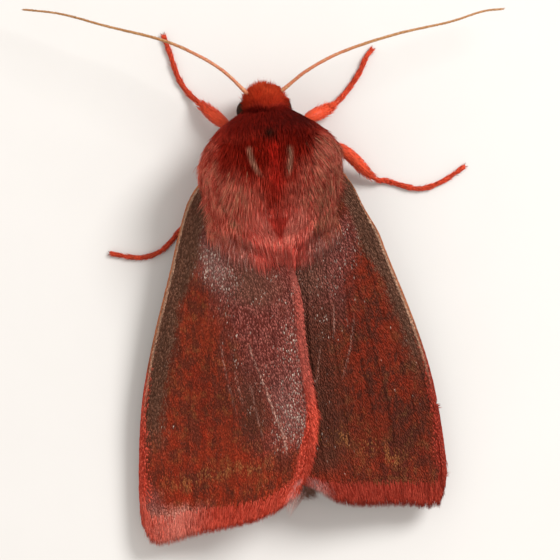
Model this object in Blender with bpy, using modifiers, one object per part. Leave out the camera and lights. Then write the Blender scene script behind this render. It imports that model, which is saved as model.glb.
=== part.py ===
"""A pink sallow moth at rest, life size: furry body, four wings folded in a low roof, six legs, two feelers.

Every place below is in millimetres, as x to the right of the body's midline, s back from the front of the head,
and z above the floor that the feet stand on. at() turns it into metres with +Y towards the head.
"""

import bisect
import math
import random

import bmesh
import bpy
from mathutils import Vector

# Driving dimensions
MM = 0.001
GAP = 0.3                # clear space between neighbouring pieces
SHEET = 0.5              # thickness of a wing
HEAD_S = 9.02            # the front of the head lies this far ahead of the origin
MIDLINE = -0.20          # and the body's midline this far to the right of it
CLEAR = 0.06             # extra room where a faceted surface cuts the corner of its neighbour
LEFT, RIGHT = -1, 1
SEED = 7

# The body from head to tail: (s, half width, half height, height of the centre)
HEAD = [
    (0.75, 0.50, 0.60, 2.55),
    (1.05, 0.84, 0.90, 2.50),
    (1.40, 0.98, 1.05, 2.45),
    (1.75, 0.92, 1.00, 2.50),
    (1.95, 0.86, 0.92, 2.55),
]
THORAX = [
    (2.25, 1.85, 1.25, 2.88),
    (2.90, 2.42, 1.62, 3.10),
    (3.80, 2.70, 1.80, 3.35),
    (5.00, 2.72, 1.85, 3.40),
    (6.20, 2.50, 1.80, 3.35),
    (7.20, 2.00, 1.55, 3.10),
    (8.00, 1.30, 1.10, 2.68),
]
ABDOMEN = [
    (8.30, 1.30, 1.00, 2.10),
    (9.50, 1.66, 1.22, 1.98),
    (13.0, 1.72, 1.27, 1.92),
    (16.0, 1.55, 1.12, 1.76),
    (18.5, 1.20, 0.90, 1.60),
    (20.2, 0.72, 0.56, 1.50),
]
# The lie of the thorax's coat, over which its locks are laid, in the same columns
COAT = [
    (1.60, 2.05, 1.18, 3.02),
    (2.20, 2.60, 1.52, 3.06),
    (3.00, 3.20, 1.80, 3.35),
    (4.00, 3.50, 1.95, 3.60),
    (5.00, 3.55, 2.02, 3.65),
    (6.00, 3.45, 1.98, 3.65),
    (7.00, 3.15, 1.82, 3.65),
    (8.00, 2.75, 1.68, 3.65),
    (9.60, 2.10, 1.58, 3.65),
]
BODY_SIDES = 16
SEGMENTS = 7             # rings of the abdomen that show
SEGMENT_STEP = 0.07      # each ring stands this proud of the next one's front edge

# The left forewing seen from above, as (x, s)
ROOT = [(0.20, 8.50), (-1.30, 8.22), (-2.35, 7.40), (-3.02, 6.00), (-3.25, 4.35)]
COSTA = [(-3.25, 4.35), (-4.40, 5.90), (-5.60, 9.40), (-6.75, 12.9), (-7.50, 16.0), (-7.92, 19.8),
         (-7.85, 21.8)]
OUTER = [(0.65, 19.8), (-0.40, 21.0), (-2.10, 21.85), (-5.00, 22.35), (-7.20, 22.75), (-7.85, 21.8)]
INNER = [(0.20, 8.50), (0.90, 10.4), (1.25, 13.3), (1.50, 17.0), (1.25, 18.7), (0.65, 19.8)]
RIGHT_NARROWER, RIGHT_SHORTER = 0.05, 0.045   # the right forewing against the left one, at its outer margin
WING_ROWS, WING_COLUMNS = 16, 24
VEINS = (2, 5, 8, 11, 14, 17, 20, 22)         # the columns that carry a vein, from the inner margin
VEIN_RISE = 0.09
FRINGE_NOTCH = 0.14      # depth between two tufts of the fringe
# The roof that the folded wings make: (s, height of its ridge, half width to the costa, height of the costa)
ROOF = [
    (4.30, 3.85, 3.25, 3.20),
    (5.90, 3.88, 4.40, 2.90),
    (8.50, 3.95, 5.30, 2.35),
    (10.0, 4.08, 5.80, 2.10),
    (13.0, 4.08, 6.75, 1.70),
    (16.0, 3.80, 7.50, 1.45),
    (18.5, 3.38, 7.80, 1.30),
    (22.8, 2.60, 7.90, 1.20),
]
ROOF_ROUND = 1.8
LOOK_AHEAD = 0.70        # a lock starts to rise over a wing this far in front of the wing's edge
LEFT_OVER = 0.90         # the left forewing lies over the right one by this much at the ridge
LEFT_COSTA = 0.30        # and by this much at its own costa
LEFT_EASE = (-1.5, -4.8)  # between these x

# The left hindwing, folded under the forewing
HIND_ROOT = [(-2.72, 7.55), (-3.20, 6.70)]
HIND_COSTA = [(-3.20, 6.70), (-4.20, 9.50), (-5.50, 14.0), (-6.10, 18.2)]
HIND_OUTER = [(-2.00, 18.0), (-3.40, 19.3), (-5.20, 19.5), (-6.10, 18.2)]
HIND_INNER = [(-2.72, 7.55), (-2.36, 9.50), (-2.26, 14.0), (-2.00, 18.0)]
HIND_ROWS, HIND_COLUMNS = 12, 10
HIND_VEINS = (2, 4, 6, 8)

# Feelers, as (x, s, z) from root to tip
FEELER_LEFT = [(-0.96, 0.66, 3.22), (-1.70, -0.55, 3.60), (-3.20, -1.70, 3.70), (-5.00, -2.60, 3.55),
               (-7.65, -3.50, 3.20), (-9.90, -4.25, 2.75), (-11.9, -4.60, 2.20)]
FEELER_RIGHT = [(0.96, 0.66, 3.22), (1.94, -0.47, 3.60), (3.98, -1.20, 3.70), (6.70, -1.84, 3.45),
                (9.40, -2.25, 3.00), (11.1, -2.66, 2.60), (12.3, -2.72, 2.30)]
FEELER_R, FEELER_TIP_R = 0.25, 0.10
FEELER_POINTS = 22

EYE = (1.20, 1.25, 2.35)
EYE_R = (0.42, 0.60, 0.64)

# Each leg: coxa on the belly (x, s), knee and ankle (x, s, z), then the foot's path along the floor (x, s)
LEGS = {
    "foreleg_left": ((-0.72, 3.00), (-1.95, 2.10, 1.25), (-3.30, 0.82, 0.50),
                     [(-3.95, 0.10), (-4.38, -0.75), (-4.68, -1.95), (-4.90, -2.75)]),
    "foreleg_right": ((0.72, 3.00), (1.85, 2.05, 1.25), (3.25, 1.42, 0.50),
                      [(4.15, 0.62), (4.75, -0.15), (5.18, -0.92), (5.55, -1.35)]),
    "midleg_left": ((-1.00, 4.95), (-2.90, 5.05, 1.50), (-4.40, 6.60, 0.50),
                    [(-5.00, 7.20), (-5.90, 8.00), (-7.00, 8.25), (-8.50, 7.92)]),
    "midleg_right": ((1.00, 4.70), (3.15, 3.45, 1.60), (5.00, 5.12, 0.50),
                     [(5.75, 5.38), (7.30, 5.88), (8.55, 5.60), (9.75, 4.90)]),
    "hindleg_left": ((-0.95, 6.95), (-2.50, 7.95, 1.25), (-3.50, 12.0, 0.50),
                     [(-3.75, 12.9), (-4.10, 14.4), (-4.35, 15.8), (-4.75, 17.3)]),
    "hindleg_right": ((0.95, 6.95), (2.45, 7.95, 1.25), (3.35, 12.1, 0.50),
                      [(3.60, 13.0), (3.90, 14.5), (4.05, 15.9), (4.40, 17.4)]),
}
COXA_R, FEMUR_R, TIBIA_R, FOOT_R, TOE_R = 0.40, 0.34, 0.32, 0.27, 0.23
FORE_TIBIA_R = 0.40      # the foreleg's tibia is short and thick with scales
KNEE_R = 0.26            # every joint is a little narrower than the limb
KNEE_EASE = 0.45         # and widens to it over this length
COXA_LOW = 0.85          # height of the coxa's lower end
CLAW = (0.42, 0.11, 0.05)            # length, radius at the root, radius at the tip
SPUR = (0.75, 0.17, 0.07)
SPURS = {"foreleg": (), "midleg": (0.62,), "hindleg": (0.52, 0.74)}  # where they stand along the tibia
TOES = 5                 # joints of a foot
FLAT = 0.78              # the foot's middle is this share of its radius above the floor, which cuts it flat
FLOOR_BLOCK = 12.0
LEVEL = 0.0005           # what lies this near to the floor is put on it

PALP = [(0.41, 0.98, 1.06), (0.44, 0.50, 1.12), (0.42, 0.27, 1.60), (0.40, 0.30, 2.05)]
PALP_R = (0.22, 0.27, 0.26, 0.13)

# Locks: width, thickness
LOCK_SIDES, LOCK_CUTS = 4, 2
THORAX_LOCK = (1.25, 0.50)
HEAD_LOCK = (0.80, 0.50)
TAIL_LOCK = (0.75, 0.50)
TAIL_LOCKS = 7
TAIL_START = 19.5
TAIL_SPREAD = (0.72, 0.84)   # how far out the tail's locks lie at root and tip, as a share of the abdomen
ROOT_DEPTH = 0.84        # a lock's root lies at this share of the core's own radius
RISEN = 0.42             # and the lock is out on the coat's surface at this share of its length
# Rows of the thorax's coat: (s of the roots, length back, widest angle from the top in degrees, locks, spread)
COAT_ROWS = [
    (2.85, -1.15, 102, 11, 0.04),
    (2.45, 1.50, 104, 10, 0.02),
    (3.30, 1.75, 84, 10, 0.04),
    (4.30, 1.95, 64, 8, 0.02),
    (5.25, 2.05, 64, 8, 0.00),
    (6.20, 2.20, 63, 8, -0.05),
    (6.95, 2.50, 40, 6, -0.10),
]
# Tiers of hair on the head: (locks, widest turn in degrees, reach, height at the middle, rise to the sides)
HEAD_TIERS = [
    (5, 50, 0.84, 2.76, 0.00),
    (3, 17, 0.96, 3.24, 0.00),
    (7, 72, 1.02, 3.68, 0.42),
    (5, 64, 0.60, 4.08, 0.16),
]
HEAD_MIDDLE = 1.06       # s of the point that the head's hair fans out from
HEAD_WIDER = 0.20        # it reaches this much further to the sides than to the front

COLOURS = {
    "fur": ((0.36, 0.035, 0.030, 1), 0.80),
    "wing": ((0.25, 0.040, 0.030, 1), 0.70),
    "hindwing": ((0.62, 0.24, 0.20, 1), 0.75),
    "leg": ((0.45, 0.060, 0.030, 1), 0.65),
    "feeler": ((0.46, 0.18, 0.06, 1), 0.60),
    "eye": ((0.020, 0.014, 0.010, 1), 0.25),
    "abdomen": ((0.40, 0.14, 0.12, 1), 0.80),
}


def at(x, s, z):
    return Vector((x + MIDLINE, HEAD_S - s, z)) * MM


def clear_scene():
    for thing in list(bpy.data.objects):
        bpy.data.objects.remove(thing)


def finish(name):
    """The material of that name, made the first time it is asked for."""
    made = bpy.data.materials.get(name)
    if made is None:
        colour, roughness = COLOURS[name]
        made = bpy.data.materials.new(name)
        made.use_nodes = True
        shader = made.node_tree.nodes["Principled BSDF"]
        shader.inputs["Base Color"].default_value = colour
        shader.inputs["Roughness"].default_value = roughness
        shader.inputs["Metallic"].default_value = 0.0
    return made


def smooth_step(share):
    share = min(max(share, 0.0), 1.0)
    return share * share * (3 - 2 * share)


def blend(a, b, share):
    return a + (b - a) * share


def read(table, s):
    """The table's columns at station s, on a smooth curve through its rows."""
    keys = [row[0] for row in table]
    s = min(max(s, keys[0]), keys[-1])
    i = min(max(bisect.bisect_right(keys, s) - 1, 0), len(keys) - 2)
    span = keys[i + 1] - keys[i]
    t = (s - keys[i]) / span

    def slope(k, column):
        low, high = max(k - 1, 0), min(k + 1, len(keys) - 1)
        return (table[high][column] - table[low][column]) / (keys[high] - keys[low])

    found = []
    for column in range(1, len(table[0])):
        a, b = table[i][column], table[i + 1][column]
        rise_a, rise_b = slope(i, column) * span, slope(i + 1, column) * span
        found.append(
            a * (2 * t**3 - 3 * t**2 + 1) + rise_a * (t**3 - 2 * t**2 + t)
            + b * (3 * t**2 - 2 * t**3) + rise_b * (t**3 - t**2)
        )
    return found


class Line:
    """A smooth line through a few points, read at a share of its length."""

    def __init__(self, points, steps=12):
        knots = [Vector(p) for p in points]
        ends = [knots[0] * 2 - knots[1]] + knots + [knots[-1] * 2 - knots[-2]]
        self.points = []
        for a, b, c, d in zip(ends, ends[1:], ends[2:], ends[3:]):
            for k in range(steps):
                t = k / steps
                self.points.append(
                    ((b * 2) + (c - a) * t + (a * 2 - b * 5 + c * 4 - d) * t * t
                     + (b * 3 - a - c * 3 + d) * t**3) / 2
                )
        self.points.append(knots[-1])
        self.reach = [0.0]
        for a, b in zip(self.points, self.points[1:]):
            self.reach.append(self.reach[-1] + (b - a).length)

    def __call__(self, share):
        want = share * self.reach[-1]
        i = min(max(bisect.bisect_right(self.reach, want) - 1, 0), len(self.points) - 2)
        part = (want - self.reach[i]) / (self.reach[i + 1] - self.reach[i])
        return self.points[i].lerp(self.points[i + 1], min(max(part, 0.0), 1.0))


def new_object(name, mesh, colour):
    made = bpy.data.objects.new(name, mesh)
    MOTH.objects.link(made)
    mesh.materials.clear()
    mesh.materials.append(finish(colour))
    return made


def mesh_from(bm, name):
    bmesh.ops.triangulate(bm, faces=bm.faces)
    bmesh.ops.recalc_face_normals(bm, faces=bm.faces)
    if bm.calc_volume(signed=True) < 0:
        bmesh.ops.reverse_faces(bm, faces=bm.faces)
    mesh = bpy.data.meshes.new(name)
    bm.to_mesh(mesh)
    bm.free()
    mesh.shade_smooth()
    return mesh


def loft(rings, name):
    """A closed surface through rings of like point count, capped at both ends."""
    bm = bmesh.new()
    made = [[bm.verts.new(p) for p in ring] for ring in rings]
    count = len(made[0])
    for low, high in zip(made, made[1:]):
        for k in range(count):
            bm.faces.new((low[k], low[(k + 1) % count], high[(k + 1) % count], high[k]))
    bm.faces.new(made[0])
    bm.faces.new(made[-1])
    return mesh_from(bm, name)


def body_loft(table, rings, name, step=None):
    """A length of the body from its table, with an outward step at each ring where step gives one."""
    first, last = table[0][0], table[-1][0]
    made = []
    for k in range(rings + 1):
        s = blend(first, last, k / rings)
        half_width, half_height, centre = read(table, s)
        proud = step(k / rings) if step else 0.0
        made.append([
            at(
                (half_width + proud) * math.sin(math.tau * i / BODY_SIDES),
                s,
                centre + (half_height + proud) * math.cos(math.tau * i / BODY_SIDES),
            )
            for i in range(BODY_SIDES)
        ])
    return loft(made, name)


def tube(points, radii, name, resolution=2):
    """A round bar through points in metres, with a radius at each, as a closed mesh."""
    curve = bpy.data.curves.new(name, "CURVE")
    curve.dimensions = "3D"
    curve.bevel_depth = MM
    curve.bevel_resolution = resolution
    curve.use_fill_caps = True
    spline = curve.splines.new("POLY")
    spline.points.add(len(points) - 1)
    for knot, p, r in zip(spline.points, points, radii):
        knot.co = (*p, 1.0)
        knot.radius = r
    guide = bpy.data.objects.new(name, curve)
    MOTH.objects.link(guide)
    graph = bpy.context.evaluated_depsgraph_get()
    mesh = bpy.data.meshes.new_from_object(guide.evaluated_get(graph))
    bpy.data.objects.remove(guide)
    bm = bmesh.new()
    bm.from_mesh(mesh)
    bmesh.ops.remove_doubles(bm, verts=bm.verts, dist=0.001 * MM)
    return mesh_from(bm, name)


def ellipsoid(centre, radii, name, across=14, along=9):
    bm = bmesh.new()
    bmesh.ops.create_uvsphere(bm, u_segments=across, v_segments=along, radius=1.0)
    for v in bm.verts:
        # The sphere's poles lie on the x axis, where the facets are smallest.
        x, s, z = v.co.z * radii[0], v.co.x * radii[1], v.co.y * radii[2]
        v.co = at(centre[0] + x, centre[1] + s, centre[2] + z)
    return mesh_from(bm, name)


def keep_largest(mesh):
    """Drops every closed surface of the mesh but the largest, which also fills a sealed hollow."""
    bm = bmesh.new()
    bm.from_mesh(mesh)
    # A corner that joins only two edges is left over from the union, and would be cut off twice.
    bmesh.ops.dissolve_verts(bm, verts=[v for v in bm.verts if len(v.link_edges) == 2])
    bmesh.ops.triangulate(bm, faces=bm.faces)
    left, islands = set(bm.faces), []
    while left:
        island, ahead = set(), [left.pop()]
        while ahead:
            face = ahead.pop()
            island.add(face)
            for edge in face.edges:
                for other in edge.link_faces:
                    if other in left:
                        left.discard(other)
                        ahead.append(other)
        islands.append(island)

    def volume(island):
        return abs(sum(f.verts[0].co.dot(f.verts[1].co.cross(f.verts[2].co)) for f in island))

    largest = max(islands, key=volume)
    bmesh.ops.delete(bm, geom=[f for f in bm.faces if f not in largest], context="FACES")
    bm.to_mesh(mesh)
    bm.free()
    mesh.shade_smooth()


def combined(core, operation, meshes):
    """The core mesh joined with the others by one UNION, or cut by them in one DIFFERENCE."""
    if not meshes:
        return core
    group = bpy.data.collections.new(operation)
    bpy.context.scene.collection.children.link(group)
    for mesh in meshes:
        group.objects.link(bpy.data.objects.new(mesh.name, mesh))
    body = bpy.data.objects.new("core", core)
    MOTH.objects.link(body)
    joint = body.modifiers.new("join", "BOOLEAN")
    joint.operation = operation
    joint.operand_type = "COLLECTION"
    joint.collection = group
    joint.solver = "EXACT"
    graph = bpy.context.evaluated_depsgraph_get()
    made = bpy.data.meshes.new_from_object(body.evaluated_get(graph))
    for thing in [body, *group.objects]:
        bpy.data.objects.remove(thing)
    bpy.data.collections.remove(group)
    keep_largest(made)
    return made


def lock(path, width, thickness, name, shift=None):
    """A flat tapered lock. path(t) gives its middle and its upward normal from root, t 0, to tip, t 1."""
    bm = bmesh.new()
    bmesh.ops.create_cone(
        bm, cap_ends=True, segments=LOCK_SIDES, radius1=1.0, radius2=0.5, depth=1.0
    )
    long_edges = [e for e in bm.edges if abs(e.verts[0].co.z - e.verts[1].co.z) > 0.5]
    bmesh.ops.subdivide_edges(bm, edges=long_edges, cuts=LOCK_CUTS, use_grid_fill=True)
    rings = {}
    for v in bm.verts:
        rings.setdefault(round(v.co.z + 0.5, 3), []).append(v)
    for t, ring in rings.items():
        middle, up = path(t)
        ahead, behind = path(min(t + 0.05, 1.0))[0], path(max(t - 0.05, 0.0))[0]
        side = (ahead - behind).cross(up).normalized()
        up = side.cross(ahead - behind).normalized()
        half_width = width / 2 * (0.62 + 1.3 * t - 1.75 * t * t)
        half_thick = thickness / 2 * (1 - 0.55 * t * t)
        placed = []
        for v in ring:
            angle = math.atan2(v.co.y, v.co.x) + math.pi / 4
            placed.append(
                middle + (side * math.cos(angle) * half_width + up * math.sin(angle) * half_thick)
                * MM
            )
        lift = shift(placed) if shift else Vector()
        for v, p in zip(ring, placed):
            v.co = p + lift
    return mesh_from(bm, name)


# Wings


def plan_of(inner, costa, root, outer):
    """Where a wing's point lies from above: u runs from root to outer margin, v from inner margin to costa."""
    inner, costa, root, outer = Line(inner), Line(costa), Line(root), Line(outer)

    def place(u, v):
        corners = (
            root(0) * (1 - u) * (1 - v) + root(1) * (1 - u) * v
            + outer(0) * u * (1 - v) + outer(1) * u * v
        )
        return inner(u) * (1 - v) + costa(u) * v + root(v) * (1 - u) + outer(v) * u - corners

    return place


FOREWING = plan_of(INNER, COSTA, ROOT, OUTER)
HINDWING = plan_of(HIND_INNER, HIND_COSTA, HIND_ROOT, HIND_OUTER)
# The line along which the left forewing begins, from its costa round its root to its inner margin, as (x, s)
FRONT_EDGE = COSTA[2:0:-1] + ROOT[::-1] + INNER[1:4]


def forewing_top(side, x, s):
    """Height of a forewing's upper face above the floor."""
    ridge, half_width, costa = read(ROOF, s)
    share = min(abs(x) / half_width, 1.1)
    height = costa + (ridge - costa) * (1 - share**ROOF_ROUND)
    if side == LEFT:
        ease = smooth_step((x - LEFT_EASE[0]) / (LEFT_EASE[1] - LEFT_EASE[0]))
        height += blend(LEFT_OVER, LEFT_COSTA, ease)
    return height


def on_side(side, place, u, v):
    """The plan of the left wing, mirrored and made a little smaller for the right one."""
    x, s = place(u, v)
    if side == RIGHT:
        x *= -(1 - RIGHT_NARROWER * u)
        s -= RIGHT_SHORTER * (s - ROOT[-1][1]) * u
    return x, s


def wing(name, side, place, rows, columns, veins, drop, notch, colour):
    """A folded wing: one sheet with its veins raised in it, and a fringe of tufts along its outer margin."""
    bm = bmesh.new()
    bmesh.ops.create_grid(bm, x_segments=rows, y_segments=columns, size=0.5)
    for vertex in bm.verts:
        u, v = vertex.co.x + 0.5, vertex.co.y + 0.5
        column = round(v * columns)
        if u > 0.999 and column % 2 and notch:
            u -= notch / (COSTA[-1][1] - COSTA[0][1])
        x, s = on_side(side, place, u, v)
        rise = VEIN_RISE * smooth_step(u / 0.2) * smooth_step((1 - u) / 0.12) if column in veins else 0.0
        vertex.co = at(x, s, forewing_top(side, x, s) - drop + rise)
    bm.normal_update()
    up = sum(f.normal.z for f in bm.faces)
    if up < 0:
        bmesh.ops.reverse_faces(bm, faces=bm.faces)
    bmesh.ops.triangulate(bm, faces=bm.faces)
    mesh = bpy.data.meshes.new(name)
    bm.to_mesh(mesh)
    bm.free()
    mesh.shade_smooth()
    sheet = new_object(name, mesh, colour)
    thick = sheet.modifiers.new("thickness", "SOLIDIFY")
    thick.thickness = SHEET * MM
    thick.offset = -1.0
    return sheet


def wings():
    for word, side in (("left", LEFT), ("right", RIGHT)):
        wing("forewing_" + word, side, FOREWING, WING_ROWS, WING_COLUMNS, VEINS, 0.0, FRINGE_NOTCH, "wing")
        wing("hindwing_" + word, side, HINDWING, HIND_ROWS, HIND_COLUMNS, HIND_VEINS,
             SHEET + GAP + CLEAR + VEIN_RISE, 0.0, "hindwing")


def wing_under(x, s):
    """Height of the uppermost forewing at or close behind that place, or None where there is none."""
    for side in (LEFT, RIGHT):
        across = -x * side
        for (x0, s0), (x1, s1) in zip(FRONT_EDGE, FRONT_EDGE[1:]):
            if min(x0, x1) <= across <= max(x0, x1):
                if s + LOOK_AHEAD > s0 + (s1 - s0) * (across - x0) / (x1 - x0):
                    return forewing_top(side, x, s)
    return None


def above_wings(placed):
    """How far a lock's ring has to rise to clear the wings under it."""
    need = 0.0
    for p in placed:
        x, s, z = p.x / MM - MIDLINE, HEAD_S - p.y / MM, p.z / MM
        top = wing_under(x, s)
        if top is not None:
            need = max(need, top + VEIN_RISE + GAP + CLEAR - z)
    return Vector((0, 0, need * MM))


# Body


def on_ellipse(table, s, angle, share=1.0):
    """The point of a body profile at s, at that angle from its top."""
    half_width, half_height, centre = read(table, s)
    return at(half_width * share * math.sin(angle), s, centre + half_height * share * math.cos(angle))


def coat_path(root_s, length, angle, spread, sway):
    """A lock's line over the thorax: from a root sunk in the core, out to the coat and along its lie."""
    start = math.radians(angle)

    def path(t):
        s = root_s + length * t
        turn = start * (1 + spread * t) + sway * t * t
        half_width, half_height = read(COAT, s)[:2]
        normal = Vector((math.sin(turn) / half_width, 0, math.cos(turn) / half_height)).normalized()
        point = on_ellipse(THORAX, root_s, start, ROOT_DEPTH).lerp(
            on_ellipse(COAT, s, turn), smooth_step(t / RISEN)
        )
        return point, normal

    return path


def thorax_coat():
    draw = random.Random(SEED)
    locks = []
    for row, (root_s, length, widest, count, spread) in enumerate(COAT_ROWS):
        for k in range(count):
            place = (k + 0.5 * (row % 2)) / (count - 1 + 0.5 * (row % 2))
            angle = widest * (2 * place - 1) + draw.uniform(-2.5, 2.5)
            path = coat_path(
                root_s + draw.uniform(-0.12, 0.12), length * draw.uniform(0.86, 1.12),
                max(-widest, min(widest, angle)), spread, draw.uniform(-0.08, 0.08),
            )
            width = THORAX_LOCK[0] * draw.uniform(0.85, 1.12)
            locks.append(lock(path, width, THORAX_LOCK[1], f"coat_{row}_{k}", above_wings))
    return locks


def head_coat():
    """The brush of hair over the face, and the crest between the feelers."""
    draw = random.Random(SEED + 1)
    locks = []
    for tier, (count, widest, reach, height, rise) in enumerate(HEAD_TIERS):
        for k in range(count):
            turn = math.radians(widest * (2 * k / (count - 1) - 1))
            out = reach * draw.uniform(0.94, 1.05)

            def path(t, turn=turn, out=out, height=height, rise=rise):
                root = at(0.28 * math.sin(turn), HEAD_MIDDLE + 0.42, min(height, 3.25) - 0.30)
                far = (0.25 + (out - 0.25) * t) * (1 + HEAD_WIDER * abs(math.sin(turn)))
                tip = at(
                    far * math.sin(turn),
                    HEAD_MIDDLE - far * math.cos(turn),
                    height + rise * abs(math.sin(turn)) - 0.10 * t * t,
                )
                up = Vector((math.sin(turn) * 0.2, 0.2, 1.0)).normalized()
                return root.lerp(tip, smooth_step(t / 0.5)), up

            locks.append(lock(path, HEAD_LOCK[0], HEAD_LOCK[1], f"brush_{tier}_{k}"))
    return locks


def tail_coat():
    """The tuft at the abdomen's tip."""
    draw = random.Random(SEED + 2)
    locks = []
    for k in range(TAIL_LOCKS):
        turn = math.tau * k / TAIL_LOCKS
        long = 1.9 + draw.uniform(-0.2, 0.2)

        def path(t, turn=turn, long=long):
            s = TAIL_START + long * t
            half_width, half_height, centre = read(ABDOMEN, s)
            spread = blend(*TAIL_SPREAD, t)
            out = Vector((math.sin(turn), 0, math.cos(turn)))
            point = at(half_width * spread * out.x, s, centre + half_height * spread * out.z)
            return point, out

        locks.append(lock(path, TAIL_LOCK[0], TAIL_LOCK[1], f"tail_{k}"))
    return locks


def eye_ball(side, grow, name):
    return ellipsoid((side * EYE[0], EYE[1], EYE[2]), [r + grow for r in EYE_R], name)


def body():
    sockets = [eye_ball(side, GAP, f"socket_{side}") for side in (LEFT, RIGHT)]
    sockets += [feeler_tube(knots, GAP, 4, "root") for knots in (FEELER_LEFT, FEELER_RIGHT)]
    furry = combined(body_loft(HEAD, 6, "head"), "UNION", head_coat())
    new_object("head", combined(furry, "DIFFERENCE", sockets), "fur")
    new_object("thorax", combined(body_loft(THORAX, 8, "thorax"), "UNION", thorax_coat()), "fur")

    def ring_step(share):
        place = share * SEGMENTS * 2
        return SEGMENT_STEP if round(place) % 2 else 0.0

    rings = body_loft(ABDOMEN, SEGMENTS * 2, "abdomen", ring_step)
    new_object("abdomen", combined(rings, "UNION", tail_coat()), "abdomen")
    for word, side in (("left", LEFT), ("right", RIGHT)):
        new_object("eye_" + word, eye_ball(side, 0.0, "eye_" + word), "eye")
        points = [at(side * x, s, z) for x, s, z in PALP]
        new_object("palp_" + word, tube(points, PALP_R, "palp_" + word), "fur")


def feeler_tube(knots, grow, count, name):
    """The first points of a feeler as a tube, wider by grow and starting that much further back."""
    line = Line(knots)
    points, radii = [], []
    for k in range(count + 1):
        share = k / FEELER_POINTS
        points.append(at(*line(share)))
        radii.append(blend(FEELER_R, FEELER_TIP_R, max(0.0, (share - 0.7) / 0.3)) + grow)
    points[0] -= (points[1] - points[0]).normalized() * grow * MM
    return tube(points, radii, name, 1)


def feelers():
    for word, knots in (("left", FEELER_LEFT), ("right", FEELER_RIGHT)):
        new_object("antenna_" + word, feeler_tube(knots, 0.0, FEELER_POINTS, "antenna_" + word), "feeler")


# Legs


def joint_plane(before, joint, after):
    """The plane that halves the bend at a joint: a point of it and its normal, which points onwards."""
    return joint, ((joint - before).normalized() + (after - joint).normalized()).normalized()


def trim(bm, centre, way, radius, plane, side):
    """Slides the end ring round centre along way until it lies on the plane, half a gap short of it."""
    point, normal = plane
    goal = point + normal * side * GAP / 2 * MM
    for v in bm.verts:
        if (v.co - centre).length < radius * 1.1 * MM:
            v.co += way * (goal - v.co).dot(normal) / way.dot(normal)


def bar(points, radii, name, start=None, end=None):
    """A round bar through points in metres; a plane at either end mitres it there."""
    mesh = tube(points, radii, name)
    bm = bmesh.new()
    bm.from_mesh(mesh)
    if start:
        trim(bm, points[0], (points[1] - points[0]).normalized(), radii[0], start, 1)
    if end:
        trim(bm, points[-1], (points[-1] - points[-2]).normalized(), radii[-1], end, -1)
    return mesh_from(bm, name)


def limb(a, b, radius, name, start=None, end=None):
    """One length of a leg from joint to joint, narrower at both."""
    way = (b - a).normalized() * KNEE_EASE * MM
    points = [a, a + way, a.lerp(b, 0.5), b - way, b]
    return bar(points, [KNEE_R, radius, radius, radius * 0.96, KNEE_R], name, start, end)


def spike(root, way, size):
    length, root_r, tip_r = size
    return tube([root, root + way.normalized() * length * MM], [root_r, tip_r], "spike", 0)


def floor_block(middle):
    """A block whose top is the floor, under that place."""
    bm = bmesh.new()
    bmesh.ops.create_cube(bm, size=FLOOR_BLOCK * MM)
    low = Vector((middle.x, middle.y, -FLOOR_BLOCK / 2 * MM))
    bmesh.ops.translate(bm, verts=bm.verts, vec=low)
    return mesh_from(bm, "floor")


def foot(name, line, start):
    """The foot: five joints laid along the floor on flats, and two claws."""
    points, radii = [], []
    for k in range(TOES):
        for along, width in ((0.0, 0.86), (0.78, 1.0)):
            share = (k + along) / TOES
            points.append(line(share))
            radii.append(blend(FOOT_R, TOE_R, share) * width)
    points.append(line(1.0))
    radii.append(TOE_R * 0.8)
    core = bar(points, radii, name, start)
    end = points[-1]
    way = (end - points[-2]).normalized()
    across = way.cross(Vector((0, 0, 1))).normalized()
    claws = [spike(end - way * 0.12 * MM, way + across * side * 0.7, CLAW) for side in (LEFT, RIGHT)]
    made = combined(combined(core, "DIFFERENCE", [floor_block(line(0.5))]), "UNION", claws)
    for v in made.vertices:
        if abs(v.co.z) < LEVEL * MM:
            v.co.z = 0.0
    new_object(name, made, "leg")


def leg(name, coxa, knee, ankle, path):
    pair, word = name.split("_")
    side = LEFT if word == "left" else RIGHT
    half_width, half_height, centre = read(THORAX, coxa[1])
    inner = (abs(coxa[0]) - COXA_R) / half_width
    belly = centre - half_height * math.sqrt(1 - inner * inner)
    hip = at(coxa[0], coxa[1], belly - GAP)
    low = at(coxa[0], coxa[1], COXA_LOW)
    knee, ankle = at(*knee), at(*ankle)
    sole = [blend(FOOT_R, TOE_R, k / len(path)) * FLAT for k in range(len(path))]
    line = Line([ankle] + [at(x, s, z) for (x, s), z in zip(path, sole)])
    knee_plane = joint_plane(low, knee, ankle)
    ankle_plane = joint_plane(knee, ankle, line(1 / TOES))

    foot_of_coxa = low - Vector((0, 0, 0.25 * MM))
    stub = tube([hip, hip.lerp(low, 0.5), low, foot_of_coxa], [COXA_R, COXA_R, COXA_R, 0.25], "coxa")
    thigh = limb(low, knee, FEMUR_R, "thigh", None, knee_plane)
    new_object(name + "_femur", combined(stub, "UNION", [thigh]), "leg")

    radius = FORE_TIBIA_R if pair == "foreleg" else TIBIA_R
    shin = limb(knee, ankle, radius, name, knee_plane, ankle_plane)
    spurs = []
    for share in SPURS[pair]:
        way = (ankle - knee).normalized()
        for turn in (0.55, -0.35):
            spurs.append(spike(knee.lerp(ankle, share), way + Vector((-side * turn, -0.3, -0.05)), SPUR))
    new_object(name + "_tibia", combined(shin, "UNION", spurs), "leg")
    foot(name + "_tarsus", line, ankle_plane)


def moth():
    body()
    feelers()
    wings()
    for name, (coxa, knee, ankle, path) in LEGS.items():
        leg(name, coxa, knee, ankle, path)


clear_scene()
MOTH = bpy.data.collections.new("pink_sallow_moth")
bpy.context.scene.collection.children.link(MOTH)
moth()
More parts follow.
